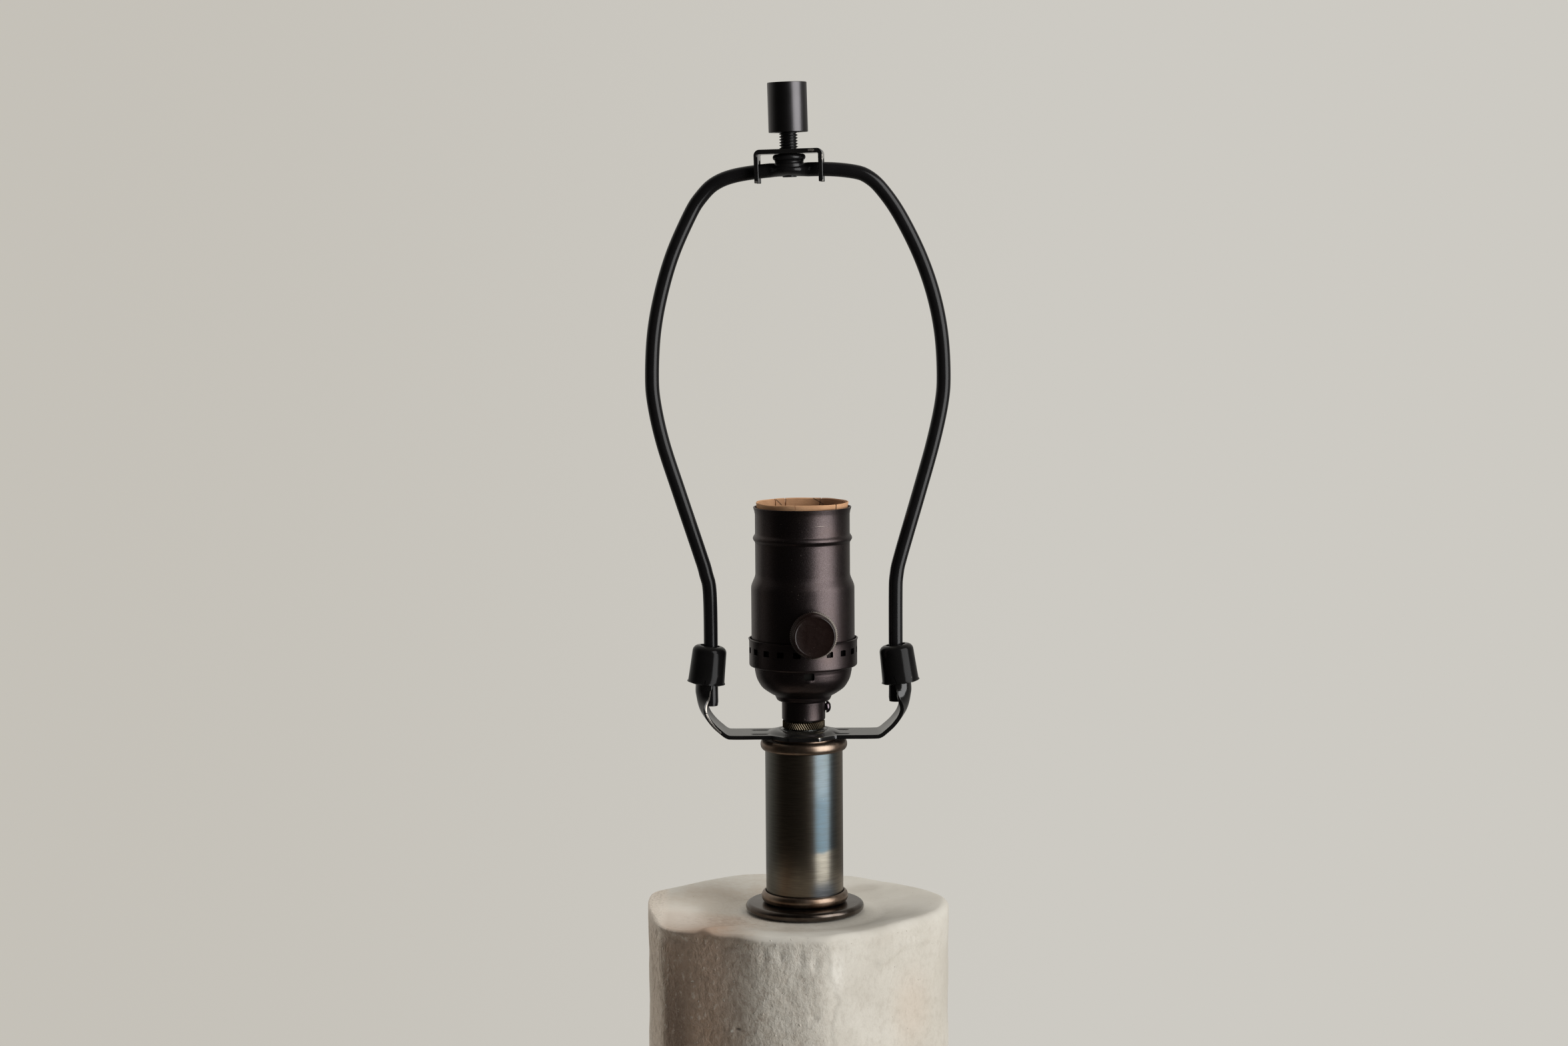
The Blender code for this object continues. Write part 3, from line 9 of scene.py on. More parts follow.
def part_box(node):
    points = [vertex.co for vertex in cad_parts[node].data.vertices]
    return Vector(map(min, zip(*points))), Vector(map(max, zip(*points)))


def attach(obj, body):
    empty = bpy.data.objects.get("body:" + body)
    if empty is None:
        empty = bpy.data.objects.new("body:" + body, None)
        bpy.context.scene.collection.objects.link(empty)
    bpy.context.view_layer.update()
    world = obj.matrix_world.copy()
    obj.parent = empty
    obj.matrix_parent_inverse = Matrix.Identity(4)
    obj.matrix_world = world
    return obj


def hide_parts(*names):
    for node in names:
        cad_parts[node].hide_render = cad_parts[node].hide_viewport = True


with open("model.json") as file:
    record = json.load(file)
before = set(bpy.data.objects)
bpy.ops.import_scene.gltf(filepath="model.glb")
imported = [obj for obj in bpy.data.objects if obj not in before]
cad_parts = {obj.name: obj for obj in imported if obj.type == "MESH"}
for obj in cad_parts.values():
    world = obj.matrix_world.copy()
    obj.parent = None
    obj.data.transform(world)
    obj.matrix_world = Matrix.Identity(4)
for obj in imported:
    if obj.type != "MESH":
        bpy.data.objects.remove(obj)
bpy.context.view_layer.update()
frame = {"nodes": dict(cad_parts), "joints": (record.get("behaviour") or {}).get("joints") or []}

# Felt pad
# A piece of black pressed wool felt, cut with a knife to the foot's outline and glued under it. The lamp
# stands on it, so its underside is flat, and its cut edges are a little soft.

PLAN_SHARES = (
    (-1.00, 0.04), (-0.97, -0.20), (-0.89, -0.52), (-0.72, -0.71), (-0.49, -0.83), (-0.23, -0.97),
    (0.11, -1.00), (0.28, -0.92), (0.48, -0.77), (0.68, -0.57), (0.92, -0.27), (1.00, 0.05),
    (0.965, 0.31), (0.76, 0.60), (0.46, 0.90), (0.30, 0.98), (-0.10, 1.00), (-0.43, 0.93), (-0.74, 0.65),
    (-0.88, 0.48), (-0.975, 0.38), (-1.003, 0.25),
)
BODY_HALF_WIDTH = 0.0513
BODY_HALF_DEPTH = 0.0465
BODY_OFFSET_X = -0.0022
BODY_COLUMNS = 384
FELT_INSET = 0.003
FELT_SOFT_EDGE = 0.0004
WELD = 0.000002


class Signal:
    """A value or colour inside a material, on which sums, products and powers add Math nodes."""

    def __init__(self, tree, socket=None):
        self.tree = tree
        self.socket = socket

    def node(self, kind, settings=None, inputs=None, output=0):
        """Adds a node of this type: its settings first, then the values or links of its sockets."""
        made = self.tree.nodes.new("ShaderNode" + kind)
        for name, value in (settings or {}).items():
            setattr(made, name, value)
        for name, value in (inputs or {}).items():
            if isinstance(value, Signal):
                self.tree.links.new(value.socket, made.inputs[name])
            elif value is not None:
                made.inputs[name].default_value = value
        return Signal(self.tree, made.outputs[output])

    def maths(self, operation, first, second):
        return self.node("Math", {"operation": operation}, {0: first, 1: second})

    def __add__(self, other):
        return self.maths("ADD", self, other)

    __radd__ = __add__

    def __sub__(self, other):
        return self.maths("SUBTRACT", self, other)

    def __rsub__(self, other):
        return self.maths("SUBTRACT", other, self)

    def __mul__(self, other):
        return self.maths("MULTIPLY", self, other)

    __rmul__ = __mul__

    def __pow__(self, other):
        return self.maths("POWER", self, other)


def place_of(root):
    """The point on the piece, in metres."""
    return root.node("TexCoord", output=3)


def along(root, axis):
    """One coordinate of the point: 0, 1 or 2 for X, Y or Z."""
    return root.node("SeparateXYZ", inputs={0: place_of(root)}, output=axis)


def grain(root, size, detail=3.0, stretch=(1, 1, 1), shift=0.0):
    """Cloudy noise from 0 to 1 whose lumps are about this size in metres, drawn out along the axes."""
    scale = tuple(1 / (size * share) for share in stretch)
    settled = root.node("Mapping", inputs={0: place_of(root), 1: (shift, shift, shift), 3: scale})
    inputs = {"Vector": settled, "Scale": 1.0, "Detail": detail, "Roughness": 0.58}
    return root.node("TexNoise", inputs=inputs)


def rise(value, low, high):
    """0 below low, 1 above high, and smooth between them. With low over high it falls."""
    inputs = {"Value": value, "From Min": low, "From Max": high}
    return value.node("MapRange", {"interpolation_type": "SMOOTHSTEP"}, inputs)


def tint(first, second, mask):
    """One colour where the mask is 0, the other where it is 1."""
    first, second = (c if isinstance(c, Signal) else (*c, 1.0) for c in (first, second))
    return mask.node("Mix", {"data_type": "RGBA"}, {0: mask, 6: first, 7: second}, output=2)


def coated(colour, *layers):
    """A colour under layers, each given by its own colour and the mask where it lies."""
    for layer, mask in layers:
        colour = tint(colour, layer, mask)
    return colour


def spot(root, centre, reach, stretch=(1, 1, 1)):
    """1 at a point and 0 past its reach, drawn out along the axes."""
    scale = tuple(1 / share for share in stretch)
    here = root.node("VectorMath", {"operation": "MULTIPLY"}, {0: place_of(root), 1: scale})
    there = tuple(c * s for c, s in zip(centre, scale))
    distance = root.node("VectorMath", {"operation": "DISTANCE"}, {0: here, 1: there}, output=1)
    return rise(distance, reach, reach * 0.15)


def bumps(height, depth, strength=1.0, under=None):
    """Relief of a given depth in metres, over other relief if there is any."""
    inputs = {"Strength": strength, "Distance": depth, "Height": height, "Normal": under}
    return height.node("Bump", inputs=inputs)


def finish(name, paint, metallic=0.0, **uniform):
    """A material whose colour, roughness and relief come from paint(root) as socket names and signals."""
    made = bpy.data.materials.new(name)
    made.use_nodes = True
    shader = made.node_tree.nodes["Principled BSDF"]
    shader.inputs["Metallic"].default_value = metallic
    for socket, value in uniform.items():
        shader.inputs[socket.replace("_", " ")].default_value = value
    for socket, signal in paint(Signal(made.node_tree)).items():
        made.node_tree.links.new(signal.socket, shader.inputs[socket])
    return made


def mottled(name, colours, cloud, roughness, relief=None, window=None, metallic=0.0, **uniform):
    """A finish that wanders between two colours with a grain, given as size, detail and stretch.

    roughness is its least and what the grain adds. relief is a second grain, its depth and its strength.
    window narrows the turn from one colour to the other.
    """

    def paint(root):
        mask = grain(root, *cloud)
        look = {
            "Base Color": tint(*colours, rise(mask, *window) if window else mask),
            "Roughness": roughness[0] + roughness[1] * mask,
        }
        if relief:
            texture, depth, strength = relief
            look["Normal"] = bumps(grain(root, *texture), depth, strength)
        return look

    return finish(name, paint, metallic, **uniform)


def smooth_line(points, per_span, closed=False):
    """Points along a smooth curve through the given points."""
    points = [Vector(p) for p in points]
    count = len(points)
    made = []
    for k in range(count if closed else count - 1):
        b, c = points[k], points[(k + 1) % count]
        a = points[k - 1] if closed or k > 0 else b * 2 - c
        d = points[(k + 2) % count] if closed or k + 2 < count else c * 2 - b
        for step in range(per_span):
            t = step / per_span
            curved = (2 * a - 5 * b + 4 * c - d) * t**2 + (3 * b - a - 3 * c + d) * t**3
            made.append(0.5 * (2 * b + (c - a) * t + curved))
    return made if closed else made + [points[-1]]


def evenly(points, count):
    """The line through these points, taken at equal distances."""
    lengths = [0.0]
    for a, b in zip(points, points[1:]):
        lengths.append(lengths[-1] + (b - a).length)
    made, k = [], 0
    for step in range(count):
        target = lengths[-1] * step / (count - 1)
        while k < len(points) - 2 and lengths[k + 1] < target:
            k += 1
        made.append(points[k].lerp(points[k + 1], (target - lengths[k]) / (lengths[k + 1] - lengths[k])))
    return made


PLAN_LINE = smooth_line(PLAN_SHARES, 12, closed=True)
PLAN_LINE = evenly(PLAN_LINE + [PLAN_LINE[0]], BODY_COLUMNS + 1)[:-1]


def body_ring(inset, z, share=1.0):
    """The body's outline, drawn in by an inset, at one height."""
    across = (BODY_HALF_WIDTH - inset) * share
    deep = (BODY_HALF_DEPTH - inset) * share
    return [Vector((BODY_OFFSET_X + p.x * across, p.y * deep, z)) for p in PLAN_LINE]


def skin(rings, closed=False):
    """Extrudes a circle through rings of equally many points. The ends are filled, or meet if closed."""
    bm = bmesh.new()
    first = ring = bmesh.ops.create_circle(bm, segments=len(rings[0]), radius=1)["verts"]
    for points in [*rings, rings[0]][: len(rings) + closed]:
        if points is not rings[0] or ring is not first:
            edges = [bm.edges.get((a, b)) for a, b in zip(ring, ring[1:] + ring[:1])]
            made = bmesh.ops.extrude_edge_only(bm, edges=edges)["geom"]
            fresh = {part for part in made if isinstance(part, bmesh.types.BMVert)}
            ring = [next(e.other_vert(v) for e in v.link_edges if e.other_vert(v) in fresh) for v in ring]
        for vert, point in zip(ring, points):
            vert.co = point
    if not closed:
        bmesh.ops.holes_fill(bm, edges=[edge for edge in bm.edges if edge.is_boundary])
    bmesh.ops.remove_doubles(bm, verts=bm.verts, dist=WELD)
    return bm


def settle(name, bm, look, body, slot, *nodes, sharp=32.0, turned_out=True):
    """Makes the mesh a piece that rides on a body and stands for CAD nodes."""
    if turned_out:
        bmesh.ops.recalc_face_normals(bm, faces=bm.faces)
    mesh = bpy.data.meshes.new(name)
    bm.to_mesh(mesh)
    bm.free()
    mesh.materials.append(look)
    mesh.shade_smooth()
    mesh.set_sharp_from_angle(angle=math.radians(sharp))
    made = bpy.data.objects.new(name, mesh)
    bpy.context.scene.collection.objects.link(made)
    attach(made, body)
    if nodes:
        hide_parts(*nodes)
    return made


def dress(node, look):
    """Gives a CAD node's own mesh a finish."""
    for holder in frame["nodes"][node].material_slots:
        holder.material = look


pad_low, pad_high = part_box("felt_pad")
felt = [
    body_ring(FELT_INSET + FELT_SOFT_EDGE, pad_low.z),
    body_ring(FELT_INSET, pad_low.z + FELT_SOFT_EDGE),
    body_ring(FELT_INSET, pad_high.z - FELT_SOFT_EDGE),
    body_ring(FELT_INSET + FELT_SOFT_EDGE, pad_high.z),
]
FELT_FUZZ = (0.0005, 5.0)
pressed_felt = mottled(
    "pressed_felt", ((0.022, 0.020, 0.018), (0.075, 0.070, 0.063)), FELT_FUZZ, (0.9, 0.1),
    (FELT_FUZZ, 0.0003, 1.0),
)
settle("felt_foot_pad", skin(felt), pressed_felt, "lamp_body", "felt", "felt_pad")

# Ceramic body
# Hand-built from slabs of grogged stoneware, closed by a soft hollowed top, and brushed with a thin pale
# slip that thins to brown clay in places. Its front left is coloured a warm brown as painted shade, the
# groove there deeper still, and its left facet paler as painted light. Its rim was pressed over by thumb,
# so its round changes along the way.

WALL_SHARES = (
    (0.00, 0.985), (0.02, 1.000), (0.18, 1.008), (0.38, 0.998), (0.60, 1.006), (0.80, 0.999), (0.94, 1.0),
)
FOOT_WALL = 0.005
FOOT_ROUND = 0.002
FOOT_RECESS = 0.028
BODY_WALL = 0.009
RIM_RISE = 0.0025
RIM_ROUND = 0.0034
RIM_STEPS = 9
SEAT_RADIUS, SEAT_GAP = 0.0215, 0.0003
BODY_HOLE_RADIUS = 0.0058
WALL_ROWS, FINE_ROWS = 84, 92
FINE_FROM = 0.84
TOP_ROWS = 24
RELIEF_LEVEL = -0.00061
BROAD_SIZE, BROAD_HEIGHT = 0.042, 0.00055
LUMP_SIZE, LUMP_HEIGHT = 0.011, 0.00030
DIMPLE_SIZE, DIMPLE_HEIGHT = 0.0042, 0.00018
GRIT_SIZE, GRIT_HEIGHT = 0.0022, 0.00006
# The rim's round as a share of its full size: least on the left, full on the right, with a waver
RIM_TIGHT, RIM_TIGHT_X, RIM_FULL_X, RIM_WAVER, WAVER_SIZE = 0.42, -0.036, 0.030, 0.16, 0.02
# How much the rim stands above its level at the back and at the pinch, and sinks at the front left corner
BACK_LIFT, PINCH_LIFT, CORNER_SINK, PINCH_DIP = 0.0008, 0.0011, 0.0012, 0.0006
BACK_FADE_Y = (-0.010, 0.030)
PINCH_X, PINCH_REACH, DIP_REACHES_OFF = -0.0328, 0.0022, 2.6
SUNK_CORNER, SUNK_REACH = (-0.045, -0.028), (0.010, 0.014)
# The pressed lip: a bulge at the wall's end and a hollow under it, which fade to the right and to the back
LIP_BULGE, LIP_HOLLOW, LIP_REACH = 0.00040, 0.00045, 0.0011
LIP_HOLLOW_DROP, LIP_HOLLOW_REACH = 2.6 * LIP_REACH, 1.5 * LIP_REACH
LIP_FADE_X, LIP_FADE_Y = (-0.004, 0.026), (0.004, 0.024)
# The front left is left rough, and the rest is smoothed to a share of that
SMOOTH_SHARE, ROUGH_FADE_X, ROUGH_FADE_Y = 0.35, (-0.012, 0.002), (0.0, 0.02)
# Small marks of the hand: middle, reach across, reach up and height
CLAY_MARKS = (
    ((0.0025, -0.0464, 0.2753), 0.0013, 0.0011, -0.0006),
    ((-0.0222, -0.0411, 0.2705), 0.0015, 0.0007, -0.0007),
    ((-0.0241, -0.0400, 0.2697), 0.0006, 0.0005, 0.0005),
    ((-0.0137, -0.0449, 0.2950), 0.0010, 0.0026, -0.00045),
    ((-0.0083, -0.0460, 0.2956), 0.0009, 0.0022, -0.00045),
    ((-0.0019, -0.0465, 0.2950), 0.0010, 0.0030, -0.0005),
    ((0.0030, -0.0464, 0.2930), 0.0011, 0.0030, -0.0005),
    ((-0.0320, -0.0352, 0.3008), 0.0034, 0.0016, 0.0009),
    ((-0.0370, -0.0310, 0.2975), 0.0030, 0.0014, -0.0005),
    ((0.0390, -0.0180, 0.2700), 0.0110, 0.0160, -0.0005),
    ((-0.0445, -0.0255, 0.2700), 0.0034, 0.0300, -0.0009),
    ((0.0208, 0.0272, 0.3018), 0.0030, 0.0030, -0.0003),
)
# The edge of the smoothed slip on the front: across and up, from the top down
FLAKE_EDGE = (
    (0.0066, 0.2990), (0.0075, 0.2944), (0.0076, 0.2892), (0.0105, 0.2804), (0.0083, 0.2739),
    (0.0090, 0.2640),
)
FLAKE_HEIGHT, FLAKE_REACH, FLAKE_STEP = 0.00042, 0.010, 0.0006
FLAKE_RAG_SIZE, FLAKE_RAG = 0.003, 0.0007
# A fold where the slabs meet, on the right of the front
FOLD_LINE = ((0.0249, -0.0337, 0.2899), (0.0326, -0.0265, 0.2947), (0.0402, -0.0188, 0.2941))
FOLD_HEIGHT, FOLD_REACH = 0.0006, 0.0016
FLAKE_BEFORE_Y, FOLD_PAST_X, MARKS_OVER_Z = -0.03, 0.02, 0.28
# Where the relief fades: up from the foot, out from the flange's seat, and on faces that turn inwards
FOOT_FADE, SEAT_FADE, LEDGE_MARGIN, SEAT_MARGIN, OUTWARD_LEAST = (0.001, 0.012), 0.006, 0.02, 0.001, 0.2

foot_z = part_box("ceramic_body")[0].z
seat_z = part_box("base_flange")[0].z - SEAT_GAP
rim_z = seat_z + RIM_RISE
ledge_z = foot_z + FOOT_RECESS


def soft_step(value, low, high):
    """0 below low, 1 above high, and smooth between them."""
    t = min(max((value - low) / (high - low), 0.0), 1.0)
    return t * t * (3 - 2 * t)


def wall_share(share):
    """The outline's share at a share of the body's height."""
    for (h0, s0), (h1, s1) in zip(WALL_SHARES, WALL_SHARES[1:]):
        if share <= h1:
            return s0 + (s1 - s0) * soft_step(share, h0, h1)
    return 1.0


def flake_edge(z):
    """How far across the smoothed slip begins at a height, if it is there at all."""
    for (x0, z0), (x1, z1) in zip(FLAKE_EDGE, FLAKE_EDGE[1:]):
        if z1 <= z <= z0:
            return x0 + (x1 - x0) * (z0 - z) / (z0 - z1)
    return None


def from_line(point, line):
    """The distance from a point to a line of points."""
    best = math.inf
    for a, b in zip(line, line[1:]):
        a, b = Vector(a), Vector(b)
        t = min(max((point - a).dot(b - a) / (b - a).length_squared, 0.0), 1.0)
        best = min(best, (point - a.lerp(b, t)).length)
    return best


def tightness(p):
    """How wide the rim's round is at a point of the outline, as a share. It is tighter on the left."""
    full = soft_step(p.x, RIM_TIGHT_X, RIM_FULL_X)
    return RIM_TIGHT + (1 - RIM_TIGHT) * full + RIM_WAVER * noise.noise(p / WAVER_SIZE)


def rim_level(p):
    """The rim's height at a point of the outline: it was pressed down by hand, and unevenly."""
    lift = BACK_LIFT * soft_step(p.y, *BACK_FADE_Y)
    if p.y < 0:
        off = (p.x - PINCH_X) / PINCH_REACH
        lift += PINCH_LIFT * math.exp(-(off**2)) - PINCH_DIP * math.exp(-((off - DIP_REACHES_OFF) ** 2) / 2)
        across, deep = ((at - middle) / reach for at, middle, reach in zip(p, SUNK_CORNER, SUNK_REACH))
        lift -= CORNER_SINK * math.exp(-(across**2) - deep**2)
    return rim_z + lift


def edge_level(p):
    """Where the wall ends and the rim's round begins."""
    return rim_level(p) - RIM_ROUND * min(tightness(p) + 0.1, 1.0)


def hand_relief(p):
    """How far the clay stands out at a point, from broad swells down to grit and single marks."""
    left_rough = soft_step(-p.x, *ROUGH_FADE_X) * soft_step(-p.y, *ROUGH_FADE_Y)
    rough = SMOOTH_SHARE + (1 - SMOOTH_SHARE) * left_rough
    height = RELIEF_LEVEL + noise.noise(p / BROAD_SIZE) * BROAD_HEIGHT
    height += noise.noise(p / LUMP_SIZE + Vector((7, 3, 1))) * LUMP_HEIGHT
    height += noise.noise(p / DIMPLE_SIZE) * DIMPLE_HEIGHT * rough
    height += noise.noise(p / GRIT_SIZE) * GRIT_HEIGHT * rough
    for middle, across, up, tall in CLAY_MARKS:
        dx, dy, dz = p - Vector(middle)
        fall = (dx * dx + dy * dy) / across**2 + (dz / up) ** 2
        if fall < 9:
            height += tall * math.exp(-fall)
    edge = flake_edge(p.z) if p.y < FLAKE_BEFORE_Y else None
    if edge is not None:
        ragged = edge + noise.noise(p / FLAKE_RAG_SIZE) * FLAKE_RAG
        raised = soft_step(p.x, ragged, ragged + FLAKE_STEP)
        if raised > 0:
            height += FLAKE_HEIGHT * raised * math.exp((edge - p.x) / FLAKE_REACH)
    if p.y < 0 and p.x > FOLD_PAST_X and p.z > MARKS_OVER_Z:
        height += FOLD_HEIGHT * math.exp(-((from_line(p, FOLD_LINE) / FOLD_REACH) ** 2))
    if p.y < 0 and p.z > MARKS_OVER_Z:
        under = p.z - edge_level(Vector((p.x, p.y, 0)))
        pressed = soft_step(-p.x, *LIP_FADE_X) * soft_step(-p.y, *LIP_FADE_Y)
        height += pressed * LIP_BULGE * math.exp(-((under / LIP_REACH) ** 2))
        height -= pressed * LIP_HOLLOW * math.exp(-(((under + LIP_HOLLOW_DROP) / LIP_HOLLOW_REACH) ** 2))
    return height


def rim_ring(angle_share):
    """One ring of the rim's round, from the wall at 0 to the top at 1."""
    angle = angle_share * math.pi / 2
    wall, top = body_ring(0, 0), body_ring(RIM_ROUND, 0)
    made = []
    for a, b in zip(wall, top):
        inward = (1 - math.cos(angle)) * tightness(a)
        up = (rim_level(a) - edge_level(a)) * math.sin(angle)
        made.append(a.lerp(b, inward) + Vector((0, 0, edge_level(a) + up)))
    return made


def body_rings():
    """Rings from inside the foot, down and out, up the wall, over the rim, into the hole and back in."""
    low, highs = foot_z + FOOT_ROUND, [edge_level(p) for p in body_ring(0, 0)]
    rings = [body_ring(FOOT_WALL, ledge_z), body_ring(FOOT_WALL, foot_z), body_ring(FOOT_ROUND, foot_z)]
    rings.append(body_ring(FOOT_ROUND * 0.3, foot_z + FOOT_ROUND * 0.3, WALL_SHARES[0][1]))
    shares = [FINE_FROM * row / WALL_ROWS for row in range(WALL_ROWS)]
    shares += [FINE_FROM + (1 - FINE_FROM) * row / FINE_ROWS for row in range(FINE_ROWS)]
    for share in shares:
        rings.append(body_ring(0, low, wall_share(share)))
        for p, high in zip(rings[-1], highs):
            p.z += (high - low) * share
    rings += [rim_ring(step / RIM_STEPS) for step in range(RIM_STEPS + 1)]
    brim, angles = rings[-1], [math.atan2(p.y, p.x) for p in body_ring(0, 0)]
    seat = [Vector((SEAT_RADIUS * math.cos(a), SEAT_RADIUS * math.sin(a), seat_z)) for a in angles]
    for row in range(1, TOP_ROWS + 1):
        t = row / TOP_ROWS
        made = [a.lerp(b, t) for a, b in zip(brim, seat)]
        for p, a in zip(made, brim):
            p.z = seat_z + (a.z - seat_z) * (1 - soft_step(t, 0.0, 1.0))
        rings.append(made)
    ceiling_z = seat_z - BODY_WALL
    hole = [Vector((BODY_HOLE_RADIUS * math.cos(a), BODY_HOLE_RADIUS * math.sin(a), 0)) for a in angles]
    rings += [[p + Vector((0, 0, z)) for p in hole] for z in (seat_z, ceiling_z)]
    rings += [body_ring(BODY_WALL + RIM_ROUND, ceiling_z), body_ring(BODY_WALL, ceiling_z - RIM_ROUND)]
    rings.append(body_ring(BODY_WALL, ledge_z))
    return rings


# Stains on the slip, and last a painted highlight: colour, share, middle, reach, stretch and the grain that
# breaks them up
BUFF, UMBER = (0.400, 0.335, 0.262), (0.300, 0.245, 0.185)
CLAY_STAINS_AND_HIGHLIGHT = (
    ((0.760, 0.725, 0.650), 0.45, (-0.041, -0.010, 0.302), 0.026, (0.7, 1.2, 0.4), "none"),
    ((0.455, 0.370, 0.290), 0.45, (0.036, -0.024, 0.272), 0.014, (1, 1, 1.4), "none"),
    ((0.250, 0.210, 0.165), 0.80, (0.0208, 0.0272, 0.302), 0.006, (1.6, 1, 1), "fine"),
    (BUFF, 0.55, (-0.030, 0.012, 0.301), 0.022, (1, 0.8, 1), "none"),
    (UMBER, 0.35, (0.004, -0.030, 0.301), 0.014, (2.4, 0.6, 1), "fine"),
    (UMBER, 0.80, (-0.030, -0.004, 0.301), 0.010, (1, 1.6, 1), "fine"),
    # Painted highlight: a pale smear where the smoothed slip on the front catches the light
    ((0.740, 0.720, 0.670), 0.45, (0.0100, -0.0435, 0.2900), 0.0060, (0.6, 1, 1.6), "leather"),
)
# The nick, and beside it the raised edge that carries a painted highlight
NICK, NICK_HIGHLIGHT = (-0.0222, -0.0411, 0.2705), (-0.0243, -0.0405, 0.2697)
RIM_PAINT_Z = (0.3015, 0.2985)


def clay_paint(root):
    """Pale slip over brown clay: cloudy, streaked downwards on the left, stained and pinholed.

    Light and shade are painted in as well: a warm brown shade over the front left and a deeper one in its
    groove, a paler left facet lit from the left, a pale highlight on the smoothed slip of the front, a
    highlight on the nick's raised edge and glints on small specks.
    """
    cloud, fine = grain(root, 0.030, 4.0), grain(root, 0.0018, 5.0)
    grit, leather = grain(root, 0.00080, 4.0), grain(root, 0.0019, 3.5, (1, 1, 1.4), 2.0)
    streak = grain(root, 0.0009, 5.0, (1, 1, 14))
    broken_by = {"none": 1.0, "fine": fine, "leather": leather}
    x, y, z = (along(root, axis) for axis in (0, 1, 2))
    front = rise(y, 0.0, -0.012)
    # The left facet, painted paler as painted light, and streaked
    left = rise(x, -0.0452, -0.0486)
    rough = (0.25 + 0.25 * rise(x, 0.012, 0.000) + 0.50 * rise(x, -0.006, -0.024)) * rise(z, *RIM_PAINT_Z)
    # The groove on the front left, below the rim, where painted shade lies
    groove_shade = rise(x, -0.0488, -0.0452) * rise(x, -0.0350, -0.0430) * rise(z, 0.3000, 0.2700) * front
    pinholes = rise(grain(root, 0.0011, 2.0, shift=4.0), 0.735, 0.775)
    # Small raised specks on the front left, coloured pale as painted glints
    glint_specks = rise(grain(root, 0.0017, 1.0, shift=11.0), 0.70, 0.78) * front * rise(x, 0.010, -0.004)
    nick = spot(root, NICK, 0.0016, (1, 1, 0.45))
    layers = [
        ((0.486, 0.459, 0.403), rise(cloud, 0.32, 0.66)),
        ((0.400, 0.318, 0.240), 0.75 * rise(cloud + 0.35 * fine, 0.78, 0.46) * rise(x, 0.012, -0.026)),
        # Painted shade: a warm brown darkening over the front left, which turns away from the lamp's light
        ((0.255, 0.150, 0.086), 0.84 * front * rise(x, -0.011, -0.032)),
        # Painted shade: the groove is coloured deep brown
        ((0.110, 0.058, 0.030), 0.88 * groove_shade),
        # Painted light: the left facet is coloured paler, as if lit from the left
        ((0.600, 0.515, 0.420), 0.70 * left),
        ((0.225, 0.162, 0.115), 0.50 * left * rise(streak, 0.48, 0.66)),
    ]
    for colour, share, middle, reach, stretch, kind in CLAY_STAINS_AND_HIGHLIGHT:
        layers.append((colour, share * spot(root, middle, reach, stretch) * broken_by[kind]))
    layers += [
        ((0.175, 0.135, 0.100), 0.70 * pinholes),
        ((0.395, 0.330, 0.255), 0.35 * rise(z, 0.05, 0.0)),
        ((0.160, 0.108, 0.070), 0.50 * rough * front * rise(leather, 0.52, 0.34)),
        ((0.560, 0.500, 0.420), 0.40 * rough * front * rise(leather, 0.56, 0.70)),
        ((0.070, 0.050, 0.036), 0.80 * nick),
        # Painted highlight on the nick's raised edge
        ((0.620, 0.580, 0.510), spot(root, NICK_HIGHLIGHT, 0.0011, (1, 1, 0.8))),
        # Painted glints on the specks
        ((0.520, 0.470, 0.400), 0.60 * glint_specks),
        ((0.280, 0.210, 0.150), 0.34 * rough * rise(grit, 0.55, 0.35)),
        ((0.740, 0.700, 0.630), 0.15 * fine),
    ]
    relief = None
    for height, depth, strength in (
        (leather * rough, 0.0010, 0.7), (grit * rough, 0.00045, 0.8), (streak * left, 0.0008, 0.8),
        (glint_specks - nick, 0.0003, 0.8), (1 - pinholes, 0.0003, 0.6),
    ):
        relief = bumps(height, depth, strength, relief)
    slip = coated((0.414, 0.384, 0.328), *layers)
    return {"Base Color": slip, "Roughness": 0.62 + 0.3 * cloud, "Normal": relief}


body_mesh = skin(body_rings(), closed=True)
bmesh.ops.recalc_face_normals(body_mesh, faces=body_mesh.faces)
body_mesh.normal_update()
moved = []
for vert in body_mesh.verts:
    p = vert.co
    outwards = vert.normal.dot(Vector((p.x, p.y, 0)).normalized()) > OUTWARD_LEAST
    outside = p.z > ledge_z - LEDGE_MARGIN and (outwards or p.z > seat_z - SEAT_MARGIN)
    weight = soft_step(p.xy.length, SEAT_RADIUS, SEAT_RADIUS + SEAT_FADE)
    weight *= soft_step(p.z - foot_z, *FOOT_FADE)
    if outside and weight > 0:
        moved.append((vert, vert.normal * (hand_relief(p) * weight)))
for vert, offset in moved:
    vert.co += offset
settle(
    "slab_built_body", body_mesh, finish("slip_over_clay", clay_paint), "lamp_body", "clay", "ceramic_body",
    sharp=70.0, turned_out=False,
)

# Bushing in the back of the foot
# A moulded black rubber sleeve with a round flange, pushed through a drilled hole from outside. A lead
# would leave the lamp by its bore.

ROUND_STEPS = 120
SMALL_ROUND = 0.0003
BORE_ROUND = 0.0006
BUSHING_BORE, BUSHING_SHANK, BUSHING_FLANGE, BUSHING_LIP = 0.0038, 0.0059, 0.0085, 0.002


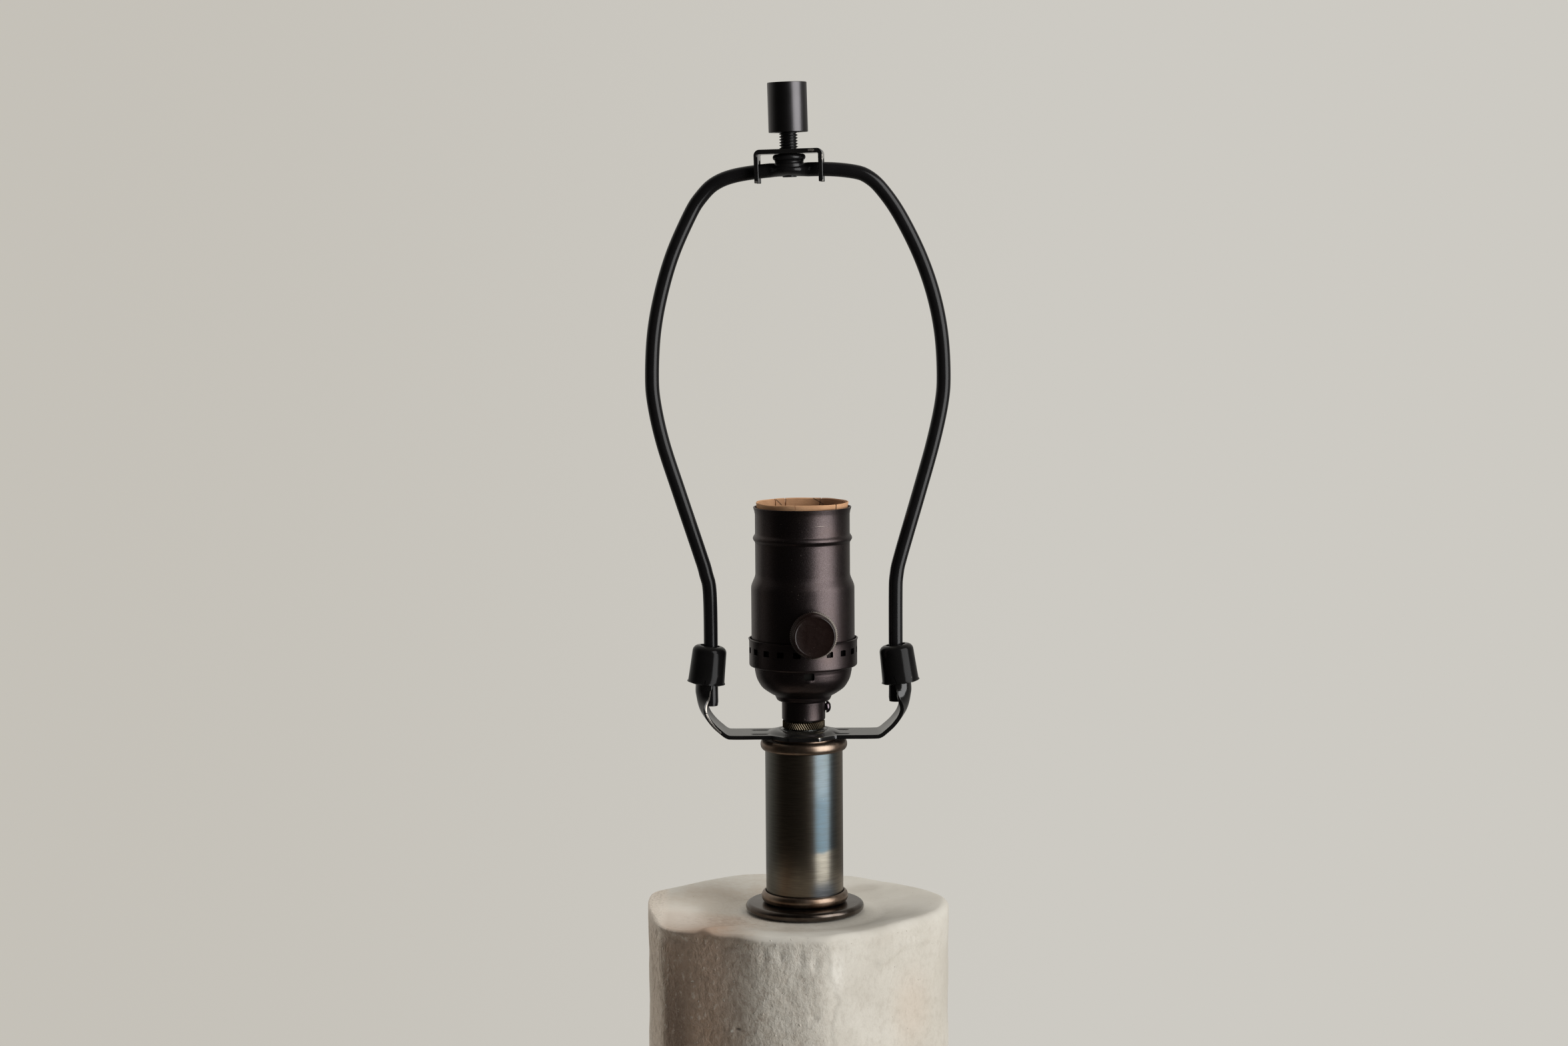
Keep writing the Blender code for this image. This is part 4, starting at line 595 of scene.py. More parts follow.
def turned(profile, steps=ROUND_STEPS, place=None, closed=True):
    """Spins (radius, height) points about Z, then moves the result to its place."""
    bm = bmesh.new()
    verts = [bm.verts.new((radius, 0, height)) for radius, height in profile]
    edges = [bm.edges.new(pair) for pair in zip(verts, verts[1:])]
    if closed and profile[0][0] > 0:
        edges.append(bm.edges.new((verts[-1], verts[0])))
    bmesh.ops.spin(
        bm, geom=verts + edges, cent=(0, 0, 0), axis=(0, 0, 1), angle=math.tau, steps=steps, use_merge=True
    )
    bmesh.ops.remove_doubles(bm, verts=bm.verts, dist=WELD)
    if place is not None:
        bmesh.ops.transform(bm, matrix=place, verts=bm.verts)
    return bm


def arc(radius, height, round_radius, start_deg, end_deg, steps=6, tall=None):
    """Points of a rounded corner about a middle at (radius, height), oval if it is told how tall."""
    made = []
    for step in range(steps + 1):
        angle = math.radians(start_deg + (end_deg - start_deg) * step / steps)
        up = (round_radius if tall is None else tall) * math.sin(angle)
        made.append((radius + round_radius * math.cos(angle), height + up))
    return made


def turn(degrees, axis="Z"):
    return Matrix.Rotation(math.radians(degrees), 4, axis)


moulded_rubber = mottled(
    "moulded_rubber", ((0.012, 0.012, 0.012), (0.040, 0.039, 0.037)), (0.003, 4.0), (0.45, 0.3),
    ((0.0004, 3.0), 0.00005, 1.0), (0.4, 0.75),
)
bush_low, bush_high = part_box("cord_bushing")
half_lip, inner_end = BUSHING_LIP / 2, bush_low.y - bush_high.y
bushing = [
    *arc(BUSHING_BORE + SMALL_ROUND, inner_end + SMALL_ROUND, SMALL_ROUND, 180, 270, 3),
    *arc(BUSHING_SHANK - SMALL_ROUND, inner_end + SMALL_ROUND, SMALL_ROUND, 270, 360, 3),
    (BUSHING_SHANK, -BUSHING_LIP),
    (BUSHING_FLANGE, -BUSHING_LIP),
    *arc(BUSHING_FLANGE - half_lip, -half_lip, half_lip, 0, 90),
    *arc(BUSHING_BORE + BORE_ROUND, -BORE_ROUND, BORE_ROUND, 90, 180, 4),
]
bush_middle = ((bush_low.x + bush_high.x) / 2, bush_high.y, (bush_low.z + bush_high.z) / 2)
bush_place = Matrix.Translation(bush_middle) @ turn(-90, "X")
bushing_mesh = turned(bushing, 64, bush_place)
settle("rubber_bushing", bushing_mesh, moulded_rubber, "lamp_body", "black_rubber", "cord_bushing")

# Pipe and clamp in the foot
# Zinc-plated steel: the threaded pipe, the plate that spans the hollow foot, the washer and the hex nut
# that pull the neck down on the body. They show only with the pad off, and through the bushing.

zinc = mottled(
    "zinc_plate", ((0.42, 0.42, 0.40), (0.62, 0.62, 0.58)), (0.0014, 3.0), (0.28, 0.25),
    ((0.0006, 3.0, (1, 1, 0.5)), 0.00008, 1.0), metallic=1.0,
)
for node in ("threaded_pipe", "base_plate", "pipe_washer", "pipe_hex_nut"):
    dress(node, zinc)

# Base flange
# A flat disc of turned steel with a half-round edge in dark oil-rubbed bronze. It spreads the neck's load
# on the clay, and dust has settled on its top.

DUST = (0.30, 0.275, 0.235)


def settled_dust(root, share, size=0.0012):
    """A mask of dust on faces that look up, cloudy, with a few single grains."""
    up = rise(root.node("SeparateXYZ", inputs={0: root.node("TexCoord", output=1)}, output=2), 0.35, 0.95)
    cloud = rise(grain(root, size * 4, 4.0), 0.30, 0.75)
    grains = rise(grain(root, size * 0.35, 2.0, shift=9.0), 0.66, 0.74)
    stray = rise(grain(root, size * 0.5, 1.0), 0.77, 0.82)
    return up * share * (0.40 * cloud + 0.70 * grains) + 0.25 * share * stray


def bronze(name, deep, worn, dust_share, roughness=0.27):
    """Plated and darkened metal, rubbed paler in cloudy patches."""

    def paint(root):
        cloud = grain(root, 0.006, 4.0)
        dust = settled_dust(root, dust_share)
        brushed = grain(root, 0.00035, 3.0, (9, 9, 1))
        return {
            "Base Color": coated(deep, (worn, rise(cloud, 0.35, 0.72)), (DUST, dust)),
            "Metallic": 1 - dust,
            "Roughness": roughness + 0.12 * cloud + 0.4 * dust,
            "Normal": bumps(dust, 0.00002, 0.5, bumps(brushed, 0.000012, 0.6)),
        }

    return finish(name, paint, 1.0)


flange_low, flange_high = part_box("base_flange")
PIPE_HOLE = 0.0053
flange_half = (flange_high.z - flange_low.z) / 2
flange = [
    (PIPE_HOLE, flange_low.z),
    *arc(flange_high.x - flange_half, flange_low.z + flange_half, flange_half, -90, 90, 14),
    (PIPE_HOLE, flange_high.z),
]
dark_bronze = bronze("dark_bronze", (0.080, 0.062, 0.050), (0.138, 0.117, 0.103), 0.10, 0.18)
settle("turned_base_flange", turned(flange), dark_bronze, "lamp_body", "dark_bronze", "base_flange")

# Check rings
# Two pressed rings with a bead edge, satin bronze, that centre the tube on the pipe. The lower one holds
# the tube in a cup that is open upwards, and the upper one caps it.

RING_FLOOR = 0.0012
TUBE_SEAT_RADIUS = 0.0133
LAND_RADIUS = 0.0108
RING_HEIGHT = 0.0036

satin_bronze = bronze("satin_bronze", (0.165, 0.112, 0.078), (0.285, 0.220, 0.170), 0.10, 0.27)
bead = RING_HEIGHT / 2
lower_low, lower_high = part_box("lower_check_ring")
cup = [
    (PIPE_HOLE, lower_low.z),
    *arc(TUBE_SEAT_RADIUS, lower_low.z + bead, lower_high.x - TUBE_SEAT_RADIUS, -90, 90, 16, bead),
    (TUBE_SEAT_RADIUS, lower_low.z + RING_FLOOR),
    (PIPE_HOLE, lower_low.z + RING_FLOOR),
]
settle("lower_ring", turned(cup), satin_bronze, "lamp_body", "satin_bronze", "lower_check_ring")
upper_low, upper_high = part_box("upper_check_ring")
cap_ring = [
    (PIPE_HOLE, upper_low.z + RING_HEIGHT - RING_FLOOR),
    (TUBE_SEAT_RADIUS, upper_low.z + RING_HEIGHT - RING_FLOOR),
    *arc(TUBE_SEAT_RADIUS, upper_low.z + bead, upper_high.x - TUBE_SEAT_RADIUS, -90, 90, 16, bead),
    (LAND_RADIUS, upper_low.z + RING_HEIGHT),
    *arc(LAND_RADIUS - SMALL_ROUND, upper_high.z - SMALL_ROUND, SMALL_ROUND, 0, 90, 3),
    (PIPE_HOLE, upper_high.z),
]
settle("upper_ring", turned(cap_ring), satin_bronze, "lamp_body", "satin_bronze", "upper_check_ring")

# Neck tube
# A length of steel tube, brushed round on the lathe and blackened in a bath. The film is thin enough to
# turn blue-green, and brown-yellow near its foot.

TUBE_WALL = 0.001
TUBE_EDGE = 0.0002
BLUE_END_Z, BLUE_FADE = 0.3225, 0.0022
DEEP_BLUE_Z, GREY_FOOT_Z = (0.3450, 0.3370), (0.3140, 0.3085)
# Across the tube: where the coloured zones begin and end, which is the band where the key light's highlight
# falls, so their hues are a painted reflection; and where the left side turns a darker grey, as painted
# shade
HIGHLIGHT_BAND_LEFT_X, HIGHLIGHT_BAND_RIGHT_X = (0.0005, 0.0045), (0.0125, 0.0085)
DEEP_BLUE_X, SHADED_LEFT_X = (0.0098, 0.0062), (-0.0065, -0.0110)


def patina_paint(root):
    """Blackened steel whose film changes hue in level zones, with brush lines round the tube.

    The hues lie only in the band where the key light's highlight falls, a painted reflection colour, and
    the left side is a darker grey as painted shade.
    """
    x, z = along(root, 0), along(root, 2)
    wander = grain(root, 0.009, 4.0) - 0.5
    brushed = grain(root, 0.00022, 4.0, (30, 30, 1))
    level = z + 0.004 * wander
    blue = rise(level, BLUE_END_Z - BLUE_FADE / 2, BLUE_END_Z + BLUE_FADE / 2)
    middle = rise(x, *HIGHLIGHT_BAND_LEFT_X) * rise(x, *HIGHLIGHT_BAND_RIGHT_X)
    cloud = rise(grain(root, 0.013, 3.0, (1, 1, 2)), 0.42, 0.68)
    deep = rise(level, *DEEP_BLUE_Z) * rise(x, *DEEP_BLUE_X)
    flecks = rise(grain(root, 0.0006, 2.0, shift=3.0), 0.74, 0.79)
    film = coated(
        (0.195, 0.180, 0.148), ((0.090, 0.112, 0.123), blue),
        ((0.150, 0.168, 0.190), 0.90 * rise(level, *GREY_FOOT_Z)),
        ((0.086, 0.104, 0.104), 0.70 * blue * cloud), ((0.044, 0.071, 0.090), 0.70 * blue * deep),
    )
    # Painted reflection colour within the highlight's band, and painted shade in darker grey on the left
    film = coated(
        (0.205, 0.170, 0.130), ((0.120, 0.118, 0.104), rise(x, *SHADED_LEFT_X)), (film, middle),
        ((0.045, 0.042, 0.036), 0.30 * rise(brushed, 0.62, 0.40)), (DUST, 0.50 * flecks),
    )
    return {
        "Base Color": film,
        "Roughness": 0.27 + 0.04 * brushed + 0.02 * (1 - blue),
        "Normal": bumps(brushed, 0.000012, 0.6),
    }


tube_low, tube_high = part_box("neck_tube")
tube = [
    (tube_high.x - TUBE_WALL, tube_low.z),
    *arc(tube_high.x - TUBE_EDGE, tube_low.z + TUBE_EDGE, TUBE_EDGE, -90, 0, 3),
    *arc(tube_high.x - TUBE_EDGE, tube_high.z - TUBE_EDGE, TUBE_EDGE, 0, 90, 3),
    (tube_high.x - TUBE_WALL, tube_high.z),
]
blackened_steel = finish("blackened_steel", patina_paint, 1.0)
settle("blackened_tube", turned(tube), blackened_steel, "lamp_body", "patina_steel", "neck_tube")

# Harp saddle
# A strip of 1.3 mm steel, pressed in one blow: a six-sided boss with a double ring round the pipe, short
# stiffening grooves, and arms whose ends curl up into channels for the harp's legs. Gloss black, dusty, and
# worn to bare steel along the left arm's front lip.

SADDLE_THICKNESS = 0.0013
SADDLE_WIDTH, SADDLE_TIP_WIDTH = 0.015, 0.0138
BOSS_HALF_DEPTH, BOSS_HALF_LENGTH, BOSS_FLAT = 0.0129, 0.0108, 0.005
SADDLE_RISE = 0.0256
CORNER_SOFTNESS = 0.25
LEAST_CURL = 0.001
WIRE_RADIUS, WIRE_ROOM = 0.00238, 0.0003
LEG_HALF_SPACING = 0.03095
CHANNEL_RADIUS = WIRE_RADIUS + WIRE_ROOM + SADDLE_THICKNESS / 2
SADDLE_HALF_SPAN = (LEG_HALF_SPACING + CHANNEL_RADIUS) / 0.966
SADDLE_LINE_SHARES = (
    (0.40, 0.00, 0.00), (0.66, 0.00, 0.00), (0.72, 0.012, 0.00), (0.777, 0.062, 0.02),
    (0.85, 0.148, 0.04), (0.921, 0.256, 0.10), (0.968, 0.365, 0.25), (0.993, 0.51, 0.62),
    (0.999, 0.646, 0.86), (0.966, 1.00, 1.00),
)
SADDLE_STATIONS = 240
SADDLE_COLUMNS, SADDLE_ROWS = 420, 44
EMBOSS_HEIGHT = 0.0012
# Radius and share of height of the double ring, from the pipe outwards
EMBOSS_SHARES = (
    (0.0000, 1.0), (0.0074, 1.0), (0.0077, 0.66), (0.0080, 0.66), (0.0083, 0.86), (0.0088, 0.80),
    (0.0126, 0.0),
)
GROOVES = ((0.0124, 0.0038), (0.0124, -0.0044), (-0.0146, 0.0038), (-0.0146, -0.0044))
GROOVE_HALF_LENGTH, GROOVE_HALF_WIDTH, GROOVE_DEPTH, GROOVE_SLOPE = 0.0026, 0.0008, 0.0004, (0.6, 1.3)

# Each point of an arm: out, up, and how far the strip is curled there, as a share of the half span
arm_line = [
    Vector((x * SADDLE_HALF_SPAN, z * SADDLE_RISE, min(max(curl, 0), 1) * SADDLE_HALF_SPAN))
    for x, z, curl in smooth_line(SADDLE_LINE_SHARES, 10)
]
arm_line = [Vector((BOSS_HALF_LENGTH, 0, 0)), *arm_line]
arm_length = sum((b - a).xy.length for a, b in zip(arm_line, arm_line[1:]))
arm_line = evenly(arm_line, SADDLE_STATIONS)


def emboss_share(radius):
    """The double ring's height at a distance from the pipe, as a share."""
    for (r0, s0), (r1, s1) in zip(EMBOSS_SHARES, EMBOSS_SHARES[1:]):
        if radius <= r1:
            return s0 + (s1 - s0) * soft_step(radius, r0, r1)
    return 0.0


def boss_half(x):
    """Half the strip's depth at a distance from the pipe, in the boss."""
    straight = min(max((x - BOSS_FLAT) / (BOSS_HALF_LENGTH - BOSS_FLAT), 0), 1)
    corner = soft_step(x, BOSS_FLAT, BOSS_HALF_LENGTH)
    corner = straight + (corner - straight) * CORNER_SOFTNESS
    return BOSS_HALF_DEPTH + (SADDLE_WIDTH / 2 - BOSS_HALF_DEPTH) * corner


def saddle_point(along_share, across_share):
    """The mid-surface at shares from -1 to 1 along the strip and across it."""
    side = 1 if along_share >= 0 else -1
    travel = abs(along_share) * (BOSS_HALF_LENGTH + arm_length)
    if travel <= BOSS_HALF_LENGTH:
        return Vector((side * travel, boss_half(travel) * across_share, 0))
    share = (travel - BOSS_HALF_LENGTH) / arm_length
    at = min(share * (SADDLE_STATIONS - 1), SADDLE_STATIONS - 1.001)
    k = int(at)
    here = arm_line[k].lerp(arm_line[k + 1], at - k)
    way = (arm_line[min(k + 3, SADDLE_STATIONS - 1)] - arm_line[max(k - 2, 0)]).xy.normalized()
    half = (SADDLE_WIDTH + (SADDLE_TIP_WIDTH - SADDLE_WIDTH) * share) / 2
    curl = here.z / SADDLE_HALF_SPAN
    lift, sideways = 0.0, half * across_share
    if curl > LEAST_CURL:
        radius = CHANNEL_RADIUS / curl
        lift = radius * (1 - math.cos(half * across_share / radius))
        sideways = radius * math.sin(half * across_share / radius)
    return Vector((side * (here.x - way.y * lift), sideways, here.y + way.x * lift))


def gloss_black(name, dust_share, pale_spots=(), roughness=0.10, shine=0.5):
    """Gloss black enamel with fine orange peel, settled dust, and pale steel spots: worn ones, and on the
    saddle two painted highlights.
    """

    def paint(root):
        dust = settled_dust(root, dust_share)
        cloud = grain(root, 0.004, 4.0)
        bare = rise(grain(root, 0.00045, 2.0, shift=2.0), 0.81, 0.85) * 0.5
        broken = rise(grain(root, 0.0011, 2.0), 0.30, 0.46)
        # Pale spots of steel: wear, and on the saddle also painted highlights
        for centre, reach, stretch in pale_spots:
            bare = bare + spot(root, centre, reach, stretch) * broken
        bare = rise(bare, 0.25, 0.75)
        enamel = tint((0.0040, 0.0038, 0.0038), (0.0085, 0.0080, 0.0078), cloud)
        return {
            "Base Color": coated(enamel, (DUST, dust), ((0.40, 0.37, 0.33), bare)),
            "Metallic": bare,
            "Roughness": roughness + 0.06 * cloud + 0.35 * dust + 0.25 * bare,
            "Normal": bumps(bare, 0.00004, 0.6, bumps(grain(root, 0.0035, 2.0), 0.000012, 0.6)),
        }

    return finish(name, paint, Specular_IOR_Level=shine)


saddle_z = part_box("harp_saddle")[0].z + SADDLE_THICKNESS / 2
saddle = bmesh.new()
bmesh.ops.create_grid(saddle, x_segments=SADDLE_COLUMNS, y_segments=SADDLE_ROWS, size=1)
pipe_faces = []
for vert in saddle.verts:
    p = saddle_point(vert.co.x, vert.co.y)
    p.z += EMBOSS_HEIGHT * emboss_share(math.hypot(p.x, p.y))
    for middle_x, middle_y in GROOVES:
        off = max(abs(p.x - middle_x) / GROOVE_HALF_LENGTH, abs(p.y - middle_y) / GROOVE_HALF_WIDTH)
        p.z -= GROOVE_DEPTH * (1 - soft_step(off, *GROOVE_SLOPE))
    vert.co = p + Vector((0, 0, saddle_z))
for face in saddle.faces:
    if face.calc_center_median().xy.length < PIPE_HOLE:
        pipe_faces.append(face)
bmesh.ops.delete(saddle, geom=pipe_faces, context="FACES")
bmesh.ops.recalc_face_normals(saddle, faces=saddle.faces)
# The worn line along the left curl's front lip, from the ferrule down
WORN_LIP = (
    (-0.0308, -0.0044, 0.3756), (-0.0316, -0.0055, 0.3730), (-0.0324, -0.0064, 0.3708),
    (-0.0324, -0.0069, 0.3686), (-0.0313, -0.0072, 0.3662), (-0.0296, -0.0073, 0.3638),
    (-0.0277, -0.0074, 0.3620),
)
SADDLE_WEAR_AND_HIGHLIGHTS = [(tuple(point), 0.00052, (1, 1.4, 1)) for point in evenly(smooth_line(WORN_LIP, 6), 36)]
# Two painted highlights, coloured as bare steel: the boss's right front corner and where the boss turns
# into the right arm; then wear on the right arm's front lip
SADDLE_WEAR_AND_HIGHLIGHTS += [
    ((0.0050, -0.0129, 0.3610), 0.0007, (1, 1, 1)), ((0.0100, -0.0080, 0.3612), 0.0006, (1, 1, 1)),
    ((0.0262, -0.0070, 0.3640), 0.0014, (1.4, 0.30, 1.0)),
]
dusty_enamel = gloss_black("dusty_black_enamel", 0.20, SADDLE_WEAR_AND_HIGHLIGHTS, 0.13)
saddle_piece = settle(
    "pressed_saddle", saddle, dusty_enamel, "lamp_body", "gloss_black", "harp_saddle", sharp=60.0
)


def give_wall(piece, thickness, offset):
    """Thickens a skin: to both sides with an offset of 0, inwards with -1 and outwards with 1."""
    wall = piece.modifiers.new("wall", "SOLIDIFY")
    wall.thickness, wall.offset = thickness, offset


def soften(piece, width, angle_deg=30):
    """Rounds the edges that turn by more than an angle."""
    edge = piece.modifiers.new("edge", "BEVEL")
    edge.width, edge.segments = width, 2
    edge.limit_method, edge.angle_limit = "ANGLE", math.radians(angle_deg)


give_wall(saddle_piece, SADDLE_THICKNESS, 0)
soften(saddle_piece, SMALL_ROUND, 60)

# Knurled locknut
# A thin round nut of brass, brown with age, whose edge carries coarse slanted knurls that have kept some
# shine on their crests.

KNURLS = 56
KNURL_DEPTH = 0.00028
KNURL_TWIST_DEG = 12.0
KNURL_POINTS = 6
CREST_RADII = (0.00688, 0.00708)
nut_low, nut_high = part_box("knurled_locknut")


def toothed(radius, depth, z, teeth, points, turn=0.0):
    """A ring whose radius dips once a tooth."""
    count = teeth * points
    made = []
    for k in range(count):
        angle = turn + math.tau * k / count
        dip = depth * (1 + math.cos(math.tau * k / points)) / 2
        made.append(Vector(((radius - dip) * math.cos(angle), (radius - dip) * math.sin(angle), z)))
    return made


def from_axis(root):
    """How far the point lies from the lamp's axis."""
    x, y = along(root, 0), along(root, 1)
    return (x * x + y * y) ** 0.5


def old_brass_paint(root):
    """Brown old brass, bright on the crests of the knurls."""
    crest = rise(from_axis(root), *CREST_RADII)
    cloud = grain(root, 0.0022, 4.0)
    worn = crest * rise(cloud, 0.05, 0.35)
    return {
        "Base Color": tint((0.030, 0.021, 0.012), (0.215, 0.177, 0.122), worn),
        "Roughness": 0.46 - 0.06 * worn + 0.1 * cloud,
        "Normal": bumps(grain(root, 0.0005), 0.00005),
    }


nut_radius = nut_high.x
nut_span = nut_high.z - nut_low.z
nut_rings = [toothed(PIPE_HOLE, 0, nut_low.z, KNURLS, KNURL_POINTS)]
for share, drawn in ((0.0, SMALL_ROUND), (0.1, 0.0), (0.5, 0.0), (0.9, 0.0), (1.0, SMALL_ROUND)):
    lean = -math.radians(KNURL_TWIST_DEG) * share
    nut_rings.append(
        toothed(nut_radius - drawn, KNURL_DEPTH, nut_low.z + nut_span * share, KNURLS, KNURL_POINTS, lean)
    )
nut_rings.append(toothed(PIPE_HOLE, 0, nut_high.z, KNURLS, KNURL_POINTS, -math.radians(KNURL_TWIST_DEG)))
old_brass = finish("aged_brass", old_brass_paint, 1.0)
nut_mesh = skin(nut_rings, closed=True)
settle("brass_locknut", nut_mesh, old_brass, "lamp_body", "aged_brass", "knurled_locknut")

# Cap of the lamp holder
# Spun and pierced steel: a short threaded collar, a bowl with a pressed catch at its front, and a band
# with twenty square vents that grips the shell. Its lip is rolled outwards. Dark brown satin paint with a
# fine peel.

CAP_WALL = 0.0005
COLLAR_RADIUS = 0.00726
COLLAR_HEIGHT = 0.0064
BOWL_RADIUS, BOWL_DEPTH = 0.0162, 0.0103
BOWL_SHARES = (
    (0.455, 0.000), (0.515, 0.006), (0.549, 0.045), (0.569, 0.105), (0.586, 0.165), (0.620, 0.208),
    (0.685, 0.262), (0.84, 0.435), (0.92, 0.61), (0.969, 0.78), (1.00, 1.00),
)
BAND_STEP = 0.0016
BAND_HEIGHT = 0.009
BAND_RADIUS = 0.01805
BAND_LIP, BAND_LIP_HEIGHT = 0.00025, 0.0006
VENTS = 20
VENT_CUT, VENT_WIDTH, VENT_HEIGHT, VENT_ROUND = 0.003, 0.00245, 0.00195, 0.00022
VENT_DROP = 0.0036
VENT_PHASE_DEG = -7.2
# Painted shade inside the band, on what lies behind its vents: from which radius inwards, and from its foot
# to its lip
BAND_SHADE_RADII, BAND_SHADE_LOW_Z, BAND_SHADE_HIGH_Z = (0.01772, 0.01764), (0.3845, 0.3848), (0.3925, 0.3922)
STEP_OFF, BAND_ROUND = 0.00005, 0.0007
# The point of the bowl's line from which it has an inner wall
INNER_FROM = 26
CATCH_PLACE = (0.0019, 0.3818)
CATCH_CUT, CATCH_WIDTH, CATCH_HEIGHT = 0.004, 0.0034, 0.0023
CATCH_PUSH, PUSH_REACH_X, PUSH_REACH_Z = 0.0003, 0.0011, 0.0007
SCRATCH = (0.0058, -0.0147, 0.4315)
SET_SCREW_HEIGHT = 0.0040
SET_SCREW_TURN_DEG = 5.0
cap_low, cap_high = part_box("socket_cap")


def wall_inside(profile, wall):
    """The profile moved to its left by the wall's thickness."""
    points = [Vector(p) for p in profile]
    ways = [(b - a).normalized() for a, b in zip(points, points[1:])]
    made = []
    for k, point in enumerate(points):
        before, after = ways[max(k - 1, 0)], ways[min(k, len(ways) - 1)]
        middle = (before + after).normalized()
        made.append(tuple(point + Vector((-middle.y, middle.x)) * (wall / max(middle.dot(before), 0.5))))
    return made


def carve(piece, cutters):
    """Cuts a mesh out of a piece and leaves plain geometry."""
    mesh = bpy.data.meshes.new("cutter")
    bmesh.ops.recalc_face_normals(cutters, faces=cutters.faces)
    cutters.to_mesh(mesh)
    cutters.free()
    cutter = bpy.data.objects.new("cutter", mesh)
    bpy.context.scene.collection.objects.link(cutter)
    step = piece.modifiers.new("cut", "BOOLEAN")
    step.operation = "DIFFERENCE"
    step.solver = "EXACT"
    step.object = cutter
    made = bpy.data.meshes.new_from_object(piece.evaluated_get(bpy.context.evaluated_depsgraph_get()))
    piece.modifiers.remove(step)
    piece.data = made
    bpy.data.objects.remove(cutter)
    made.shade_smooth()
    made.set_sharp_from_angle(angle=math.radians(38))


def box_cutter(bm, place, size, soft=0.0):
    """Adds a box with rounded upright edges to a mesh of cutters."""
    made = bmesh.ops.create_cube(bm, size=1, matrix=place @ Matrix.Diagonal((*size, 1)))["verts"]
    if soft:
        outward = place.to_3x3().col[0]
        edges = {e for v in made for e in v.link_edges}
        edges = [e for e in edges if abs((e.verts[0].co - e.verts[1].co).normalized().dot(outward)) > 0.9]
        bmesh.ops.bevel(
            bm, geom=edges, offset=soft, segments=3, profile=0.5, affect="EDGES", material=-1,
            clamp_overlap=True,
        )


def brown_paint(root):
    """Dark brown paint with a bronze flake, a fine peel, flecks of dust and a few rubbed marks, and near
    black painted shade on what lies inside the band.
    """
    flake = grain(root, 0.00022, 3.0)
    cloud = grain(root, 0.009, 4.0)
    flecks = rise(grain(root, 0.00050, 1.5, shift=5.0), 0.755, 0.80)
    scratch = spot(root, SCRATCH, 0.0024, (1, 1, 0.05))
    z = along(root, 2)
    painted_band_shade = rise(from_axis(root), *BAND_SHADE_RADII) * rise(z, *BAND_SHADE_LOW_Z) * rise(z, *BAND_SHADE_HIGH_Z)
    return {
        "Base Color": coated(
            (0.050, 0.039, 0.038), ((0.094, 0.077, 0.078), rise(flake, 0.35, 0.75)),
            # Painted shade: near black inside the band
            ((0.078, 0.056, 0.048), 0.35 * rise(cloud, 0.45, 0.75)), ((0.005, 0.004, 0.004), painted_band_shade),
            ((0.40, 0.35, 0.30), 0.55 * flecks + 0.4 * scratch),
        ),
        "Roughness": 0.27 + 0.09 * flake + 0.05 * cloud,
        "Normal": bumps(flecks + scratch, 0.00005, 0.7, bumps(flake, 0.000035, 0.9)),
    }


brown = finish("brown_bronze_paint", brown_paint, 1.0)
cap_z = cap_low.z
bowl_z = cap_z + COLLAR_HEIGHT
band_z = bowl_z + BOWL_DEPTH + BAND_STEP
cap_outer = [
    *[(BOWL_RADIUS * p.x, bowl_z + BOWL_DEPTH * p.y) for p in smooth_line(BOWL_SHARES, 5)],
    (BOWL_RADIUS + STEP_OFF, bowl_z + BOWL_DEPTH + BAND_STEP * 0.45),
    *arc(BOWL_RADIUS + 2 * SMALL_ROUND, band_z - SMALL_ROUND - STEP_OFF, SMALL_ROUND, 190, 90, 4),
    *arc(BAND_RADIUS - BAND_ROUND, band_z + BAND_ROUND, BAND_ROUND, -75, 0, 6),
    *[(BAND_RADIUS, band_z + (BAND_HEIGHT - BAND_LIP_HEIGHT) * t) for t in (0.2, 0.5, 0.8, 1.0)],
    (BAND_RADIUS + BAND_LIP * 0.6, cap_high.z - BAND_LIP_HEIGHT * 0.5),
    (BAND_RADIUS + BAND_LIP, cap_high.z),
]
cap_profile = [
    (PIPE_HOLE, cap_z),
    *arc(COLLAR_RADIUS - CAP_WALL, cap_z + CAP_WALL, CAP_WALL, -90, 0, 4),
    (COLLAR_RADIUS, bowl_z - SMALL_ROUND),
    *cap_outer,
    *reversed(wall_inside(cap_outer[INNER_FROM:], CAP_WALL)),
    (PIPE_HOLE, bowl_z + CAP_WALL),
]
cap_mesh = turned(cap_profile, 160)
catch_x, catch_z = CATCH_PLACE
for vert in cap_mesh.verts:
    p = vert.co
    across, up = (p.x - catch_x) / PUSH_REACH_X, (p.z - catch_z + CATCH_HEIGHT * 0.85) / PUSH_REACH_Z
    if p.y < 0:
        vert.co += Vector((p.x, p.y, 0)).normalized() * (CATCH_PUSH * math.exp(-(across**2) - up**2))
cap = settle("pierced_cap", cap_mesh, brown, "lamp_body", "brown_paint", "socket_cap")
punches = bmesh.new()
for k in range(VENTS):
    vent_place = turn(VENT_PHASE_DEG - 90 + 360 * k / VENTS)
    vent_place = vent_place @ Matrix.Translation((BAND_RADIUS, 0, cap_high.z - VENT_DROP))
    box_cutter(punches, vent_place, (VENT_CUT, VENT_WIDTH, VENT_HEIGHT), VENT_ROUND)
catch_bearing = math.degrees(math.atan2(-1, catch_x / BOWL_RADIUS))
catch_place = turn(catch_bearing) @ Matrix.Translation((BOWL_RADIUS, 0, catch_z))
box_cutter(punches, catch_place, (CATCH_CUT, CATCH_WIDTH, CATCH_HEIGHT), SMALL_ROUND)
carve(cap, punches)


